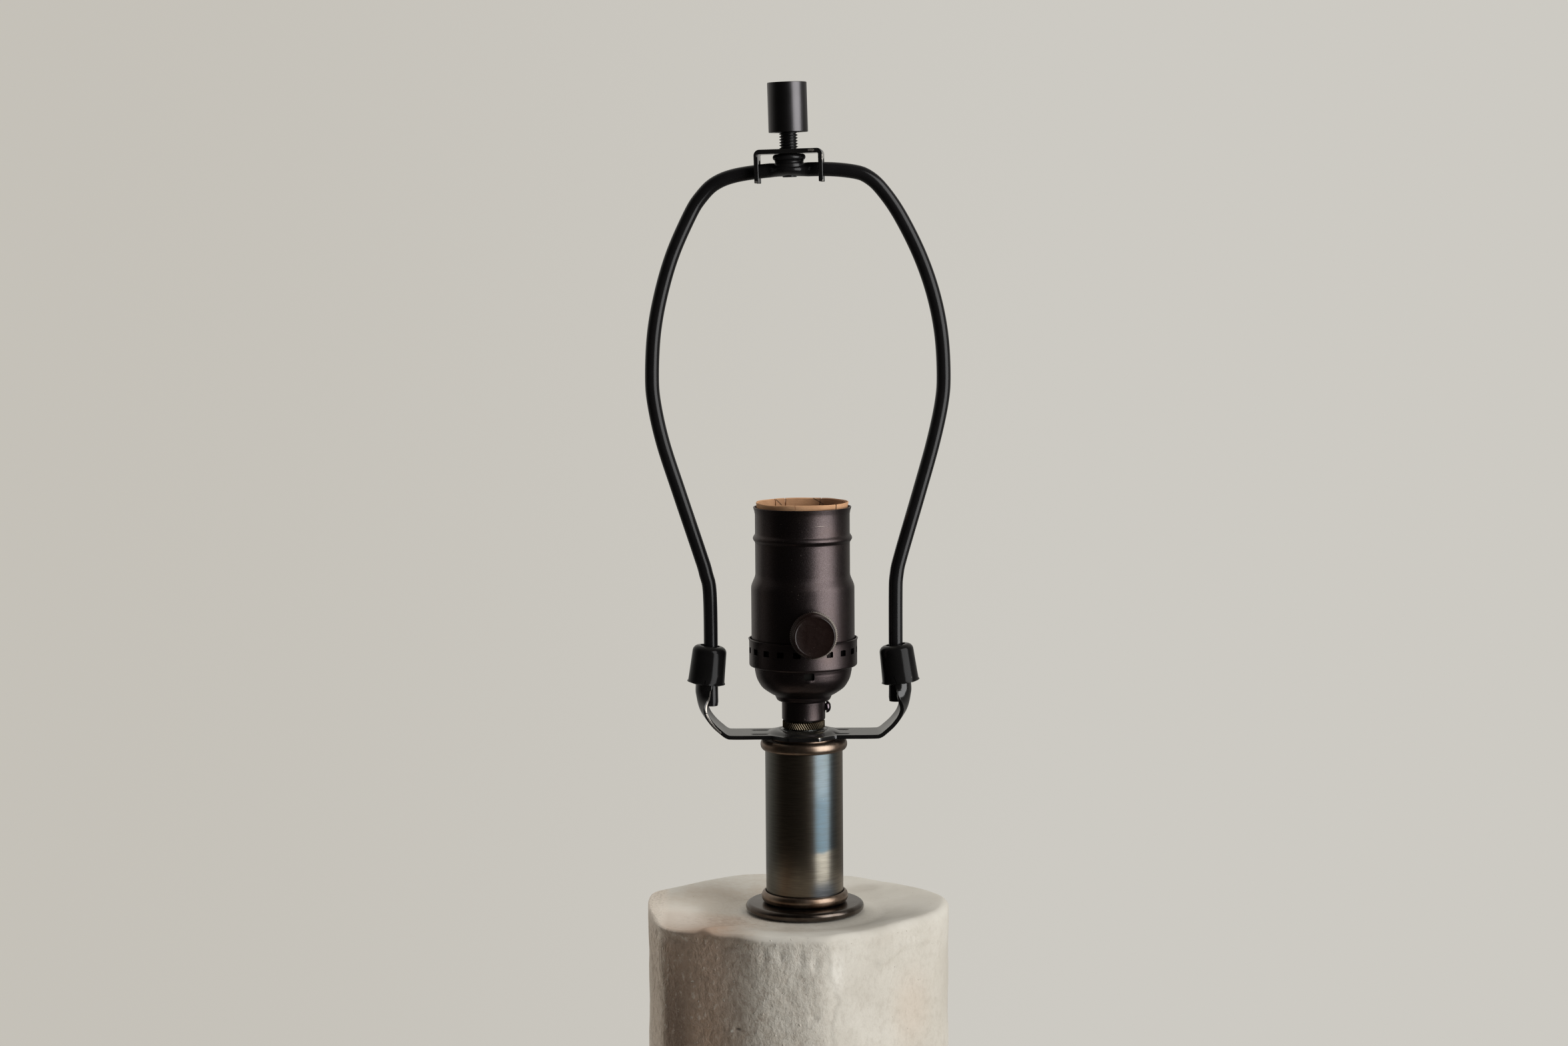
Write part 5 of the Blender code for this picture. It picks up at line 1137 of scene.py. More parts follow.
# Creases on the back of the card tube, drawn as dark lines of painted shade, each from one point (across,
# up) to another
CREASES = (((-0.0088, 0.4382), (-0.0067, 0.4360)), ((0.0037, 0.4383), (0.0075, 0.4362)))
CREASE_EDGE, CREASE_FADE, CREASES_Y = (0.00024, 0.00008), 0.0003, (0, 0.004)
# Painted shade on the card's inside towards the right: from which radius inwards, and across
CARD_SHADE_RADII, CARD_SHADE_X = (0.0153, 0.0150), (0.002, 0.008)


def card_paint(root):
    """Brown card: pressed fibres, a little mottled, with painted shade in its creases and inside on the
    right.
    """
    fibre = grain(root, 0.0009, 5.0, (1, 1, 0.35))
    cloud = grain(root, 0.006, 4.0)
    dark = rise(grain(root, 0.0008, 3.0, shift=6.0), 0.62, 0.78)
    x, y, z = (along(root, axis) for axis in (0, 1, 2))

    def crease(start, end):
        """A dark slanted line."""
        length = math.dist(start, end)
        way_x, way_z = ((b - a) / length for a, b in zip(start, end))
        off = (x - start[0]) * way_z - (z - start[1]) * way_x
        at = (x - start[0]) * way_x + (z - start[1]) * way_z
        ends = rise(at, 0, CREASE_FADE) * rise(at, length, length - CREASE_FADE)
        return rise((off * off) ** 0.5, *CREASE_EDGE) * ends

    creases = (crease(*CREASES[0]) + crease(*CREASES[1])) * rise(y, *CREASES_Y)
    inner_shade = rise(from_axis(root), *CARD_SHADE_RADII) * rise(x, *CARD_SHADE_X)
    return {
        "Base Color": coated(
            (0.375, 0.190, 0.092), ((0.485, 0.265, 0.137), rise(cloud, 0.3, 0.7)),
            ((0.590, 0.355, 0.198), 0.5 * fibre), ((0.190, 0.090, 0.045), 0.6 * dark),
            # Painted shade: inside on the right, and in the creases
            ((0.120, 0.055, 0.028), 0.75 * inner_shade), ((0.060, 0.030, 0.016), 0.85 * creases),
        ),
        "Roughness": 0.78 + 0.2 * fibre,
        "Normal": bumps(fibre, 0.00012, 0.8),
    }


card = finish("brown_card", card_paint)
# The cap's liner is coloured near black with little shine as painted shade, so that the catch slot shows
# dark
shade_black_fibre = mottled(
    "shade_black_fibre", ((0.004, 0.004, 0.003), (0.012, 0.011, 0.010)), (0.0012, 4.0), (0.7, 0.2),
    Specular_IOR_Level=0.1,
)
dress("cap_liner", shade_black_fibre)

# Set screw in the collar
# A small domed screw with a sawn slot, painted over with the cap, that stops the holder from turning.

SCREW_HEAD, SCREW_DOME, SCREW_SHANK = 0.00198, 0.00165, 0.0012
SLOT_SIZE, SLOT_TURN_DEG = (0.006, 0.0005, 0.0014), 35.0


def satin_black(
    name, chips=(), roughness=0.30, low=(0.0042, 0.0040, 0.0042), high=(0.0105, 0.0098, 0.0100),
    metallic=0.0, shine=0.5,
):
    """Satin black: cloudy sheen, fine peel, a few flecks, and chips down to grey metal."""

    def paint(root):
        cloud = grain(root, 0.007, 4.0)
        peel = grain(root, 0.0014, 2.0)
        flecks = rise(grain(root, 0.0005, 1.5, shift=1.0), 0.765, 0.81)
        bare = 0.4 * flecks
        for centre, reach, stretch in chips:
            bare = bare + spot(root, centre, reach, stretch)
        bare = rise(bare, 0.3, 0.8)
        return {
            "Base Color": coated(low, (high, cloud), ((0.42, 0.40, 0.37), bare)),
            "Roughness": roughness + 0.06 * cloud,
            "Normal": bumps(1 - bare, 0.00003, 0.6, bumps(peel, 0.00001, 0.7)),
        }

    return finish(name, paint, metallic, Specular_IOR_Level=shine)


screw_gloss = satin_black("brown_gloss_screw", (), 0.10, (0.085, 0.068, 0.078), (0.120, 0.100, 0.110), 1.0)
screw_place = Matrix.Translation((0, 0, cap_z + SET_SCREW_HEIGHT))
screw_place = screw_place @ turn(SET_SCREW_TURN_DEG) @ turn(90, "Y")
head_at = COLLAR_RADIUS + SMALL_ROUND
dome = SCREW_DOME - SMALL_ROUND
screw_profile = [
    (0, PIPE_HOLE + SMALL_ROUND), (SCREW_SHANK, PIPE_HOLE + SMALL_ROUND), (SCREW_SHANK, head_at),
    (SCREW_HEAD, head_at), *arc(0, head_at + SMALL_ROUND, SCREW_HEAD, 0, 75, 5, dome),
    (0, head_at + SCREW_DOME),
]
screw_mesh = turned(screw_profile, 48, screw_place)
set_screw = settle("domed_set_screw", screw_mesh, screw_gloss, "lamp_body", "brown_paint", "cap_set_screw")
slot_saw = bmesh.new()
slot_place = screw_place @ Matrix.Translation((0, 0, head_at + SCREW_DOME))
box_cutter(slot_saw, slot_place @ turn(SLOT_TURN_DEG), SLOT_SIZE)
carve(set_screw, slot_saw)

# Inside the lamp holder
# The moulded phenolic block and, behind the knob, its rotor; a brass screw and a nickel one for the two
# wires; the aged brass stem of the knob. All of them keep the frame's own shapes.

ROLLED = ((0.0002, 3.0, (8, 8, 1)), 0.00002, 0.7)
phenolic = mottled(
    "moulded_phenolic", ((0.016, 0.011, 0.010), (0.040, 0.029, 0.025)), (0.003, 4.0), (0.32, 0.2),
    ((0.0005, 3.0), 0.00005, 1.0),
)
brass, nickel = (
    mottled(name, colours, (0.0035, 4.0), (roughness, 0.14), ROLLED, (0.3, 0.65), 1.0)
    for name, colours, roughness in (
        ("bright_brass", ((0.50, 0.35, 0.14), (0.80, 0.62, 0.32)), 0.20),
        ("nickel_plate", ((0.52, 0.50, 0.46), (0.76, 0.74, 0.70)), 0.16),
    )
)
for node, look in (
    ("socket_interior", phenolic), ("switch_rotor", phenolic), ("terminal_screw_live", brass),
    ("terminal_screw_neutral", nickel), ("switch_stem", old_brass), ("finial_bush", brass),
):
    dress(node, look)

# Screw shell
# Thin brass, rolled into a tube with a rounded coarse thread that takes the bulb.

SHELL_THREAD_PITCH = 0.00363
SHELL_THREAD_TURNS = 7
SHELL_THREAD_DEPTH = 0.0006
SHELL_STEPS, WAVE_STEPS = 72, 10
SHELL_METAL = 0.0003


def threaded(profile, pitch, turns, steps):
    """Spins a profile one pitch tall while it climbs, so that each turn meets the last."""
    bm = bmesh.new()
    verts = [bm.verts.new((radius, 0, height)) for radius, height in profile]
    edges = [bm.edges.new(pair) for pair in zip(verts, verts[1:])]
    bmesh.ops.spin(
        bm, geom=verts + edges, cent=(0, 0, 0), axis=(0, 0, 1), dvec=(0, 0, pitch / steps),
        angle=math.tau * turns, steps=steps * turns,
    )
    bmesh.ops.remove_doubles(bm, verts=bm.verts, dist=WELD)
    return bm


def trim(bm, low, high, fill=False):
    """Cuts a mesh off level at both ends, and closes it there if asked."""
    for z, way in ((low, -1), (high, 1)):
        whole = bm.verts[:] + bm.edges[:] + bm.faces[:]
        made = bmesh.ops.bisect_plane(
            bm, geom=whole, plane_co=(0, 0, z), plane_no=(0, 0, way), clear_outer=True
        )
        if fill:
            rim = [part for part in made["geom_cut"] if isinstance(part, bmesh.types.BMEdge)]
            bmesh.ops.contextual_create(bm, geom=rim)
    bmesh.ops.remove_doubles(bm, verts=bm.verts, dist=WELD)


thread_low, thread_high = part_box("screw_shell")
shell_root = thread_high.x - SHELL_THREAD_DEPTH
wave = []
for step in range(WAVE_STEPS + 1):
    share = step / WAVE_STEPS
    swell = SHELL_THREAD_DEPTH * (1 - math.cos(math.tau * share)) / 2
    wave.append((shell_root + swell, SHELL_THREAD_PITCH * share))
thread = threaded(wave, SHELL_THREAD_PITCH, SHELL_THREAD_TURNS + 1, SHELL_STEPS)
bmesh.ops.translate(thread, verts=thread.verts, vec=(0, 0, thread_low.z - SHELL_THREAD_PITCH / 2))
trim(thread, thread_low.z, thread_high.z - SHELL_THREAD_PITCH)
screw_shell = settle("rolled_screw_shell", thread, brass, "lamp_body", "brass", "screw_shell", sharp=60.0)
give_wall(screw_shell, SHELL_METAL, -1)

# Centre contact
# A springy tongue of brass strip, riveted at its root in the block, bent up so that its tip lies on the
# axis.

TONGUE_WIDTH, TONGUE_METAL, TONGUE_EDGE = 0.0055, 0.0005, 0.00012
TONGUE_REACH, TONGUE_TILT_DEG = 0.007, 22.0
BEND_REACH, BEND_RISE = 0.0004, 0.00015
TONGUE_COLUMNS, TONGUE_ROWS = 39, 10
# Where the tip begins to round off, over what share of the length, and what is left of the width, squared
TIP_FROM, TIP_OVER, TIP_LEFT = 0.86, 0.16, 0.02


def joint_place(name):
    """The matrix that takes the origin to a joint and lays Z along its axis."""
    joint = next(j for j in frame["joints"] if j["name"] == name)
    upright = Vector((0, 0, 1)).rotation_difference(Vector(joint["axis"]))
    return Matrix.Translation(joint["pos_m"]) @ upright.to_matrix().to_4x4()


contact_low, contact_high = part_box("centre_contact")
root_x = joint_place("contact_press").translation.x
knee_x = root_x - TONGUE_REACH * math.cos(math.radians(TONGUE_TILT_DEG))
tip_z = contact_high.z - TONGUE_METAL
tongue_line = [
    (contact_high.x, contact_low.z), (root_x + BEND_REACH, contact_low.z),
    (root_x - BEND_REACH, contact_low.z + BEND_RISE), (knee_x + BEND_REACH, tip_z - BEND_RISE),
    (knee_x - BEND_REACH, tip_z), (contact_low.x, tip_z),
]
tongue_line = evenly([Vector(p) for p in tongue_line], TONGUE_COLUMNS + 1)
tongue = bmesh.new()
bmesh.ops.create_grid(tongue, x_segments=TONGUE_COLUMNS, y_segments=TONGUE_ROWS, size=1)
for vert in tongue.verts:
    share = (vert.co.x + 1) / 2
    here = tongue_line[round(share * TONGUE_COLUMNS)]
    rounding = math.sqrt(max(1 - max((share - TIP_FROM) / TIP_OVER, 0) ** 2, TIP_LEFT))
    vert.co = Vector((here.x, vert.co.y * TONGUE_WIDTH / 2 * rounding, here.y))
bmesh.ops.recalc_face_normals(tongue, faces=tongue.faces)
if sum(face.normal.z for face in tongue.faces) < 0:
    bmesh.ops.reverse_faces(tongue, faces=tongue.faces)
contact = settle(
    "contact_tongue", tongue, brass, "contact", "brass", "centre_contact", sharp=50.0, turned_out=False
)
give_wall(contact, TONGUE_METAL, 1)
soften(contact, TONGUE_EDGE)

# Card insulator
# A rolled tube of brown card between the screw shell and the outer shell. It stands proud of the rim, its
# edge is cut a little unevenly, and it has slits and creases from the punch.

CARD_THICKNESS = 0.0009
RIM_DROP = 0.0004
# The card's mouth swells out over a short height, and its edge is rounded and wavy
MOUTH_SWELL, MOUTH_HEIGHT, MOUTH_NEAR, MOUTH_DROP, MOUTH_ROUND = 0.0004, 0.0028, 0.00015, 0.0010, 0.00025
CARD_WAVE, CARD_WAVE_REACH, CARD_WAVES = 0.00022, 0.0015, 2.2
SLIT_WIDTH, SLIT_CUT, SLIT_LEAN_DEG = 0.0004, 0.0030, 8.0
STEM_HOLE, STEM_DRILL_FROM, STEM_DRILL_TO = 0.0027, 0.006, 0.022
# Direction of each slit in degrees from +X, and how far down it runs
SLITS = ((-99.5, 0.0021), (-44.0, 0.0020), (128.0, 0.0042), (112.0, 0.0036), (64.0, 0.0034), (20.0, 0.0018))
paper_low, paper_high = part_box("paper_insulator")
paper_high.z -= RIM_DROP
paper_radius = paper_high.x
straight = paper_radius - MOUTH_SWELL
paper_outer = [
    (straight, paper_low.z),
    *[(straight, paper_low.z + (paper_high.z - paper_low.z - MOUTH_HEIGHT) * t) for t in (0.3, 0.6, 1.0)],
    (paper_radius - MOUTH_NEAR, paper_high.z - MOUTH_DROP),
    *arc(paper_radius - MOUTH_ROUND, paper_high.z - MOUTH_ROUND, MOUTH_ROUND, 0, 90, 4),
]
paper_profile = [*paper_outer, *reversed(wall_inside(paper_outer[:-3], CARD_THICKNESS))]
paper_mesh = turned(paper_profile, 180)
for vert in paper_mesh.verts:
    if vert.co.z > paper_high.z - CARD_WAVE_REACH:
        angle = math.atan2(vert.co.y, vert.co.x)
        around = Vector((CARD_WAVES * math.cos(angle), CARD_WAVES * math.sin(angle), 5.0))
        vert.co.z -= CARD_WAVE * (0.6 + noise.noise(around))
paper = settle("card_tube", paper_mesh, card, "lamp_body", "card", "paper_insulator")
slits = bmesh.new()
for bearing, drop in SLITS:
    slit_place = turn(bearing) @ Matrix.Translation((straight, 0, paper_high.z))
    slit_place = slit_place @ turn(SLIT_LEAN_DEG, "X")
    box_cutter(slits, slit_place, (SLIT_CUT, SLIT_WIDTH, 2 * drop))
switch_place = joint_place("switch_turn")


def drill(radius, start, end, steps, place):
    """A cutter for a round hole along the Z of its place."""
    return turned([(0, start), (radius, start), (radius, end), (0, end)], steps, place)


carve(paper, slits)
carve(paper, drill(STEM_HOLE, STEM_DRILL_FROM, STEM_DRILL_TO, 40, switch_place))

# Shell of the lamp holder
# Drawn from thin steel and painted with the cap: a wide lower part, a soft shoulder, a rolled bead and a
# rim that is rolled a little outwards. It snaps into the cap's band. The front is left without its raised
# lettering.

SHELL_WALL = 0.0005
LOWER_RADIUS, UPPER_RADIUS = 0.01725, 0.0158
SHOULDER_HEIGHT, UPPER_HEIGHT = 0.0036, 0.0228
BEAD_RISE, BEAD_HEIGHT, BEAD_DROP = 0.00075, 0.0034, 0.0104
RIM_FLARE, RIM_FLARE_HEIGHT, RIM_FLARE_EDGE = 0.00055, 0.0012, 0.0001
SHELL_PLAIN_HEIGHT = 0.012
SHOULDER_STEPS, BEAD_STEPS = 14, 16
outer_low, outer_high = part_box("socket_shell")
outer_high.z -= RIM_DROP
shoulder_top = outer_high.z - UPPER_HEIGHT
shoulder_low = shoulder_top - SHOULDER_HEIGHT * 1.3
bead_z = outer_high.z - BEAD_DROP
slope = LOWER_RADIUS - UPPER_RADIUS
shell_outer = [(LOWER_RADIUS, outer_low.z), (LOWER_RADIUS, outer_low.z + SHELL_PLAIN_HEIGHT)]
for step in range(SHOULDER_STEPS + 1):
    t = step / SHOULDER_STEPS
    drawn = slope * soft_step(t, 0.08, 0.98)
    shell_outer.append((LOWER_RADIUS - drawn, shoulder_low + SHOULDER_HEIGHT * 1.5 * t))
shell_outer.append((UPPER_RADIUS, bead_z - BEAD_HEIGHT * 0.8))
for step in range(BEAD_STEPS + 1):
    t = 2 * step / BEAD_STEPS - 1
    swell = BEAD_RISE * (1 + math.cos(math.pi * t)) / 2
    shell_outer.append((UPPER_RADIUS + swell, bead_z + BEAD_HEIGHT / 2 * t))
shell_outer += [
    (UPPER_RADIUS, outer_high.z - RIM_FLARE_HEIGHT * 2),
    (UPPER_RADIUS + RIM_FLARE * 0.35, outer_high.z - RIM_FLARE_HEIGHT * 1.1),
    (UPPER_RADIUS + RIM_FLARE * 0.85, outer_high.z - RIM_FLARE_HEIGHT * 0.4),
    (UPPER_RADIUS + RIM_FLARE, outer_high.z - RIM_FLARE_EDGE),
    (UPPER_RADIUS + RIM_FLARE - RIM_FLARE_EDGE, outer_high.z),
]
shell_profile = [*shell_outer, *reversed(wall_inside(shell_outer[:-1], SHELL_WALL))]
shell = settle("drawn_shell", turned(shell_profile, 160), brown, "lamp_body", "brown_paint", "socket_shell")
carve(shell, drill(STEM_HOLE, STEM_DRILL_FROM, STEM_DRILL_TO, 40, switch_place))

# Turn knob
# Moulded dark brown plastic on the switch's stem: a flat face in a thin bright rim, a waist, and a flange
# behind it with fine knurls, greyed by handling and paler on their crests as a painted highlight.

KNOB_TEETH, TOOTH_POINTS, TOOTH_DEPTH = 72, 4, 0.00032
KNOB_BACK = 0.0189
KNOB_FLANGE, KNOB_FLANGE_DEPTH = 0.0079, 0.0019
KNOB_FACE, KNOB_WAIST, KNOB_LENGTH = 0.0069, 0.0073, 0.0054
KNOB_RIM, KNOB_DISH = 0.00045, 0.00018
KNOB_BORE, KNOB_BORE_DEPTH = 0.0024, 0.0028
# Where the knurls are greyed, by handling and as a painted highlight: the flange, and on it the crests of
# the knurls
GREYED_Y, GREYED_DEPTHS = (-0.0215, -0.0205), (0.00022, 0.00006)


def knob_paint(root):
    """Swirled brown plastic with flecks of dust, grey on its knurls' crests: wear and a painted highlight.
    """
    y = along(root, 1)
    swirl = grain(root, 0.0016, 4.0)
    flecks = rise(grain(root, 0.00045, 2.0, shift=8.0), 0.72, 0.78)
    flange = rise(y, *GREYED_Y)
    x, z = along(root, 0) - switch_place.translation.x, along(root, 2) - switch_place.translation.z
    crest = rise((x * x + z * z) ** 0.5, *(KNOB_FLANGE - depth for depth in GREYED_DEPTHS)) * flange
    return {
        "Base Color": coated(
            (0.0060, 0.0028, 0.0024), ((0.0150, 0.0074, 0.0058), swirl),
            # Grey crests: handling wear, and a painted highlight where the knurls catch the light
            ((0.260, 0.230, 0.200), 0.70 * crest), ((0.16, 0.12, 0.10), 0.35 * flecks),
        ),
        "Roughness": 0.20 + 0.14 * swirl + 0.10 * flange,
        "Normal": bumps(grain(root, 0.0008, 3.0), 0.00004, 0.7),
    }


knob_front = KNOB_BACK + KNOB_LENGTH
flange_front = KNOB_BACK + KNOB_FLANGE_DEPTH
# Radius, distance from the axis' origin and depth of the knurls of each ring
knob_rings = [
    (KNOB_BORE, KNOB_BACK + KNOB_BORE_DEPTH, 0), (KNOB_BORE, KNOB_BACK, 0),
    (KNOB_FLANGE - SMALL_ROUND, KNOB_BACK, 0), (KNOB_FLANGE, KNOB_BACK + SMALL_ROUND, TOOTH_DEPTH),
    (KNOB_FLANGE, flange_front - SMALL_ROUND, TOOTH_DEPTH), (KNOB_FLANGE - SMALL_ROUND, flange_front, 0),
    (KNOB_WAIST, flange_front + SMALL_ROUND, 0), (KNOB_FACE, knob_front - KNOB_RIM, 0),
    *[(r, h, 0) for r, h in arc(KNOB_FACE - KNOB_RIM, knob_front - KNOB_RIM, KNOB_RIM, 15, 90, 5)],
    (KNOB_FACE - KNOB_RIM * 1.6, knob_front - KNOB_DISH * 0.6, 0),
    (KNOB_FACE - KNOB_RIM * 2.2, knob_front - KNOB_DISH, 0),
    (KNOB_FACE * 0.4, knob_front - KNOB_DISH * 0.9, 0), (SMALL_ROUND, knob_front - KNOB_DISH * 0.9, 0),
]
knob_mesh = skin([toothed(radius, dip, at, KNOB_TEETH, TOOTH_POINTS) for radius, at, dip in knob_rings])
bmesh.ops.transform(knob_mesh, matrix=switch_place, verts=knob_mesh.verts)
brown_plastic = finish("brown_plastic", knob_paint, Specular_IOR_Level=0.35)
settle("turn_knob", knob_mesh, brown_plastic, "switch", "knob_plastic", "switch_knob")

# Harp wire
# A steel rod of 4.8 mm bent by hand into a bow, a little unlike on its two sides, flattened at the top
# round the stud's hole, and sheared at its ends. Satin black, chipped near the top.

HARP_HEIGHT, HARP_HALF_WIDTH = 0.1779, 0.0483
RIGHT_LEG_TRIM = 0.0011
HARP_LINE_SHARES = (
    (-0.668, 0.250), (-0.709, 0.288), (-0.844, 0.401), (-0.953, 0.495), (-1.011, 0.569), (-1.024, 0.621),
    (-1.007, 0.700), (-0.955, 0.774), (-0.871, 0.848), (-0.748, 0.921), (-0.676, 0.951), (-0.585, 0.975),
    (-0.448, 0.990), (-0.220, 0.999), (-0.065, 1.000), (0.189, 1.001), (0.370, 0.996), (0.461, 0.987),
    (0.552, 0.965), (0.674, 0.918), (0.811, 0.844), (0.906, 0.770), (0.960, 0.696), (0.976, 0.618),
    (0.960, 0.565), (0.900, 0.491), (0.802, 0.397), (0.680, 0.284), (0.649, 0.247),
)
STRAIGHT_LEG_SHARE = 0.20
WIRE_STATIONS = 300
WIRE_SIDES = 28
WIRE_SHARE = 0.985
# The sheared ends: swollen a little, and drawn in at the very edge
END_SWELL, END_DRAWN = 0.05, 0.10
# The eye: its radius, how far past it and how deep the wire is hammered, and how much thinner that makes it
EYE_RADIUS, EYE_MARGIN, EYE_HALF_DEPTH, EYE_THINNING = 0.0062, 0.004, 0.005, 0.06
harp_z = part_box("harp_wire")[0].z
crown = joint_place("finial_turn")
bow = [Vector((x * HARP_HALF_WIDTH, z * HARP_HEIGHT)) for x, z in HARP_LINE_SHARES]
leg_top = STRAIGHT_LEG_SHARE * HARP_HEIGHT
harp_line = [
    Vector((-LEG_HALF_SPACING, 0)), Vector((-LEG_HALF_SPACING, leg_top)), *bow,
    Vector((LEG_HALF_SPACING, leg_top)), Vector((LEG_HALF_SPACING, RIGHT_LEG_TRIM)),
]
harp_line = evenly(smooth_line(harp_line, 10), WIRE_STATIONS)
harp_rings = []
for k, p in enumerate(harp_line):
    way = (harp_line[min(k + 1, WIRE_STATIONS - 1)] - harp_line[max(k - 1, 0)]).normalized()
    side = Vector((-way.y, 0, way.x))
    end = min(k, WIRE_STATIONS - 1 - k)
    flare = 1.0 + END_SWELL * math.exp(-end / 2) - END_DRAWN * (end == 0)
    ring = []
    for step in range(WIRE_SIDES):
        angle = math.tau * step / WIRE_SIDES
        offset = side * math.cos(angle) + Vector((0, math.sin(angle), 0))
        ring.append(Vector((p.x, 0, harp_z + p.y)) + offset * (WIRE_RADIUS * WIRE_SHARE * flare))
    harp_rings.append(ring)
wire_mesh = skin(harp_rings)
crown_back = crown.inverted()
for vert in wire_mesh.verts:
    local = crown_back @ vert.co
    if abs(local.x) < EYE_RADIUS + EYE_MARGIN and abs(local.z) < EYE_HALF_DEPTH:
        reach = math.sqrt(max(EYE_RADIUS**2 - local.x**2, 0))
        wider = max(reach, WIRE_RADIUS) / WIRE_RADIUS
        local.y *= wider
        local.z *= 1 - EYE_THINNING * (wider - 1)
        vert.co = crown @ local
WIRE_CHIPS = (
    ((-0.0030, -0.0060, 0.5465), 0.0005, (1, 1, 1.6)), ((-0.0050, -0.0058, 0.5459), 0.0006, (2.2, 1, 0.6)),
    ((0.0010, -0.0050, 0.5480), 0.0005, (0.5, 1, 2.0)), ((-0.0138, -0.0024, 0.5462), 0.0005, (1, 1, 1)),
)
chipped_black = satin_black("satin_black_wire", WIRE_CHIPS, 0.18, shine=0.24)
settle("bent_harp_wire", wire_mesh, chipped_black, "harp", "satin_black", "harp_wire", sharp=50.0)

# Stud
# Turned steel, riveted through the wire's eye: a rounded collar that carries the shade rest, and above it a
# fine thread of 27 turns to the inch for the finial.

STUD_TAIL, TAIL_EDGE = 0.0024, 0.0002
STUD_SHOULDER, SHOULDER_ROUND = 0.0055, 0.0008
STUD_NECK, STUD_NECK_HEIGHT = 0.0049, 0.0004
COLLAR_ROUND_RADIUS, COLLAR_ROUND_HEIGHT = 0.00545, 0.0021
THREAD_ROOT, THREAD_CREST, THREAD_PITCH, THREAD_TURNS = 0.0025, 0.0031, 0.00094074, 13
collar_low = WIRE_RADIUS + WIRE_ROOM + STUD_NECK_HEIGHT
collar_high = collar_low + COLLAR_ROUND_HEIGHT
half_collar = COLLAR_ROUND_HEIGHT / 2
shoulder_z = WIRE_RADIUS * 0.8
stud = [
    (0, -WIRE_RADIUS), (STUD_TAIL - TAIL_EDGE, -WIRE_RADIUS), (STUD_TAIL, -WIRE_RADIUS + TAIL_EDGE),
    (STUD_TAIL, 0), (STUD_SHOULDER, 0), (STUD_SHOULDER, shoulder_z),
    *arc(STUD_SHOULDER, shoulder_z + SHOULDER_ROUND, SHOULDER_ROUND, 270, 180, 5),
    (STUD_NECK, collar_low),
    *arc(COLLAR_ROUND_RADIUS - half_collar, collar_low + half_collar, half_collar, -90, 90, 10),
    (THREAD_ROOT * 0.9, collar_high), (0, collar_high),
]
black_steel = satin_black("satin_black_steel", (), 0.26, shine=0.35)
settle("riveted_collar", turned(stud, 64, crown), black_steel, "harp", "satin_black", "harp_stud")
# The radius at shares of one pitch
THREAD_FORM = (
    (THREAD_ROOT, 0.0), (THREAD_ROOT, 0.12), (THREAD_CREST, 0.46), (THREAD_CREST, 0.56), (THREAD_ROOT, 0.9),
    (THREAD_ROOT, 1.0),
)
form = [(radius, THREAD_PITCH * share) for radius, share in THREAD_FORM]
screw = threaded(form, THREAD_PITCH, THREAD_TURNS + 1, 36)
bmesh.ops.translate(screw, verts=screw.verts, vec=(0, 0, collar_high - THREAD_PITCH))
trim(screw, collar_high - THREAD_PITCH * 0.2, collar_high + THREAD_PITCH * (THREAD_TURNS - 0.3), True)
bmesh.ops.transform(screw, matrix=crown, verts=screw.verts)
settle("shade_thread", screw, black_steel, "harp", "satin_black", "harp_stud", sharp=28.0)

# Shade rest
# A strip of 1.2 mm steel with a hole for the stud, bent down at both ends. Each leg is forked, and its two
# tines stand astride the wire. Gloss black, worn pale where shades have rubbed its corners and ends.

REST_WIDTH, REST_DEPTH, REST_THICKNESS, REST_LEG_DROP = 0.0226, 0.0125, 0.0015, 0.0109
REST_BEND, REST_TURN_DEG, FORK_WIDTH = 0.0019, -3.5, 0.0066
REST_HOLE, REST_DRILL_FROM, REST_DRILL_TO = 0.0035, 0.003, 0.009
REST_EDGE, REST_LIFT = 0.00022, 0.0001
FORK_MARGIN, FORK_ROUND = 0.002, 0.0012
rest_top = collar_high + REST_LIFT + REST_THICKNESS
rest_low = rest_top - REST_LEG_DROP
half_rest = REST_WIDTH / 2
rest_place = crown @ turn(REST_TURN_DEG)


def bend(radius, start_deg, end_deg, side):
    """One of the plate's bends: an arc at its right end, or mirrored at its left."""
    made = arc(half_rest - REST_BEND, rest_top - REST_BEND, radius, start_deg, end_deg, 8)
    return [(side * x, z) for x, z in made]


inner_bend = REST_BEND - REST_THICKNESS
rest_outline = [
    (half_rest - REST_THICKNESS, rest_low), (half_rest, rest_low), *bend(REST_BEND, 0, 90, 1),
    *bend(REST_BEND, 90, 0, -1), (-half_rest, rest_low), (REST_THICKNESS - half_rest, rest_low),
    *bend(inner_bend, 0, 90, -1), *bend(inner_bend, 90, 0, 1),
]
rest_rings = [[Vector((x, y, z)) for x, z in rest_outline] for y in (-REST_DEPTH / 2, REST_DEPTH / 2)]
rest_mesh = skin(rest_rings)
bmesh.ops.transform(rest_mesh, matrix=rest_place, verts=rest_mesh.verts)
REST_WORN = (
    ((0.0036, -0.0067, 0.5543), 0.0016, (1.0, 0.6, 0.45)),
    ((0.0074, -0.0066, 0.5520), 0.0018, (0.35, 0.5, 1.6)),
    ((0.0076, -0.0066, 0.5444), 0.0008, (1, 1, 0.7)), ((-0.0145, -0.0056, 0.5440), 0.0009, (1, 1, 0.6)),
    ((-0.0142, -0.0058, 0.5525), 0.0007, (0.6, 1, 1)),
)
worn_enamel = gloss_black("worn_black_enamel", 0.20, REST_WORN)
rest = settle("forked_shade_rest", rest_mesh, worn_enamel, "harp", "gloss_black", "shade_rest")
saws = bmesh.new()
fork_height = FORK_WIDTH / 2 - rest_low + FORK_MARGIN
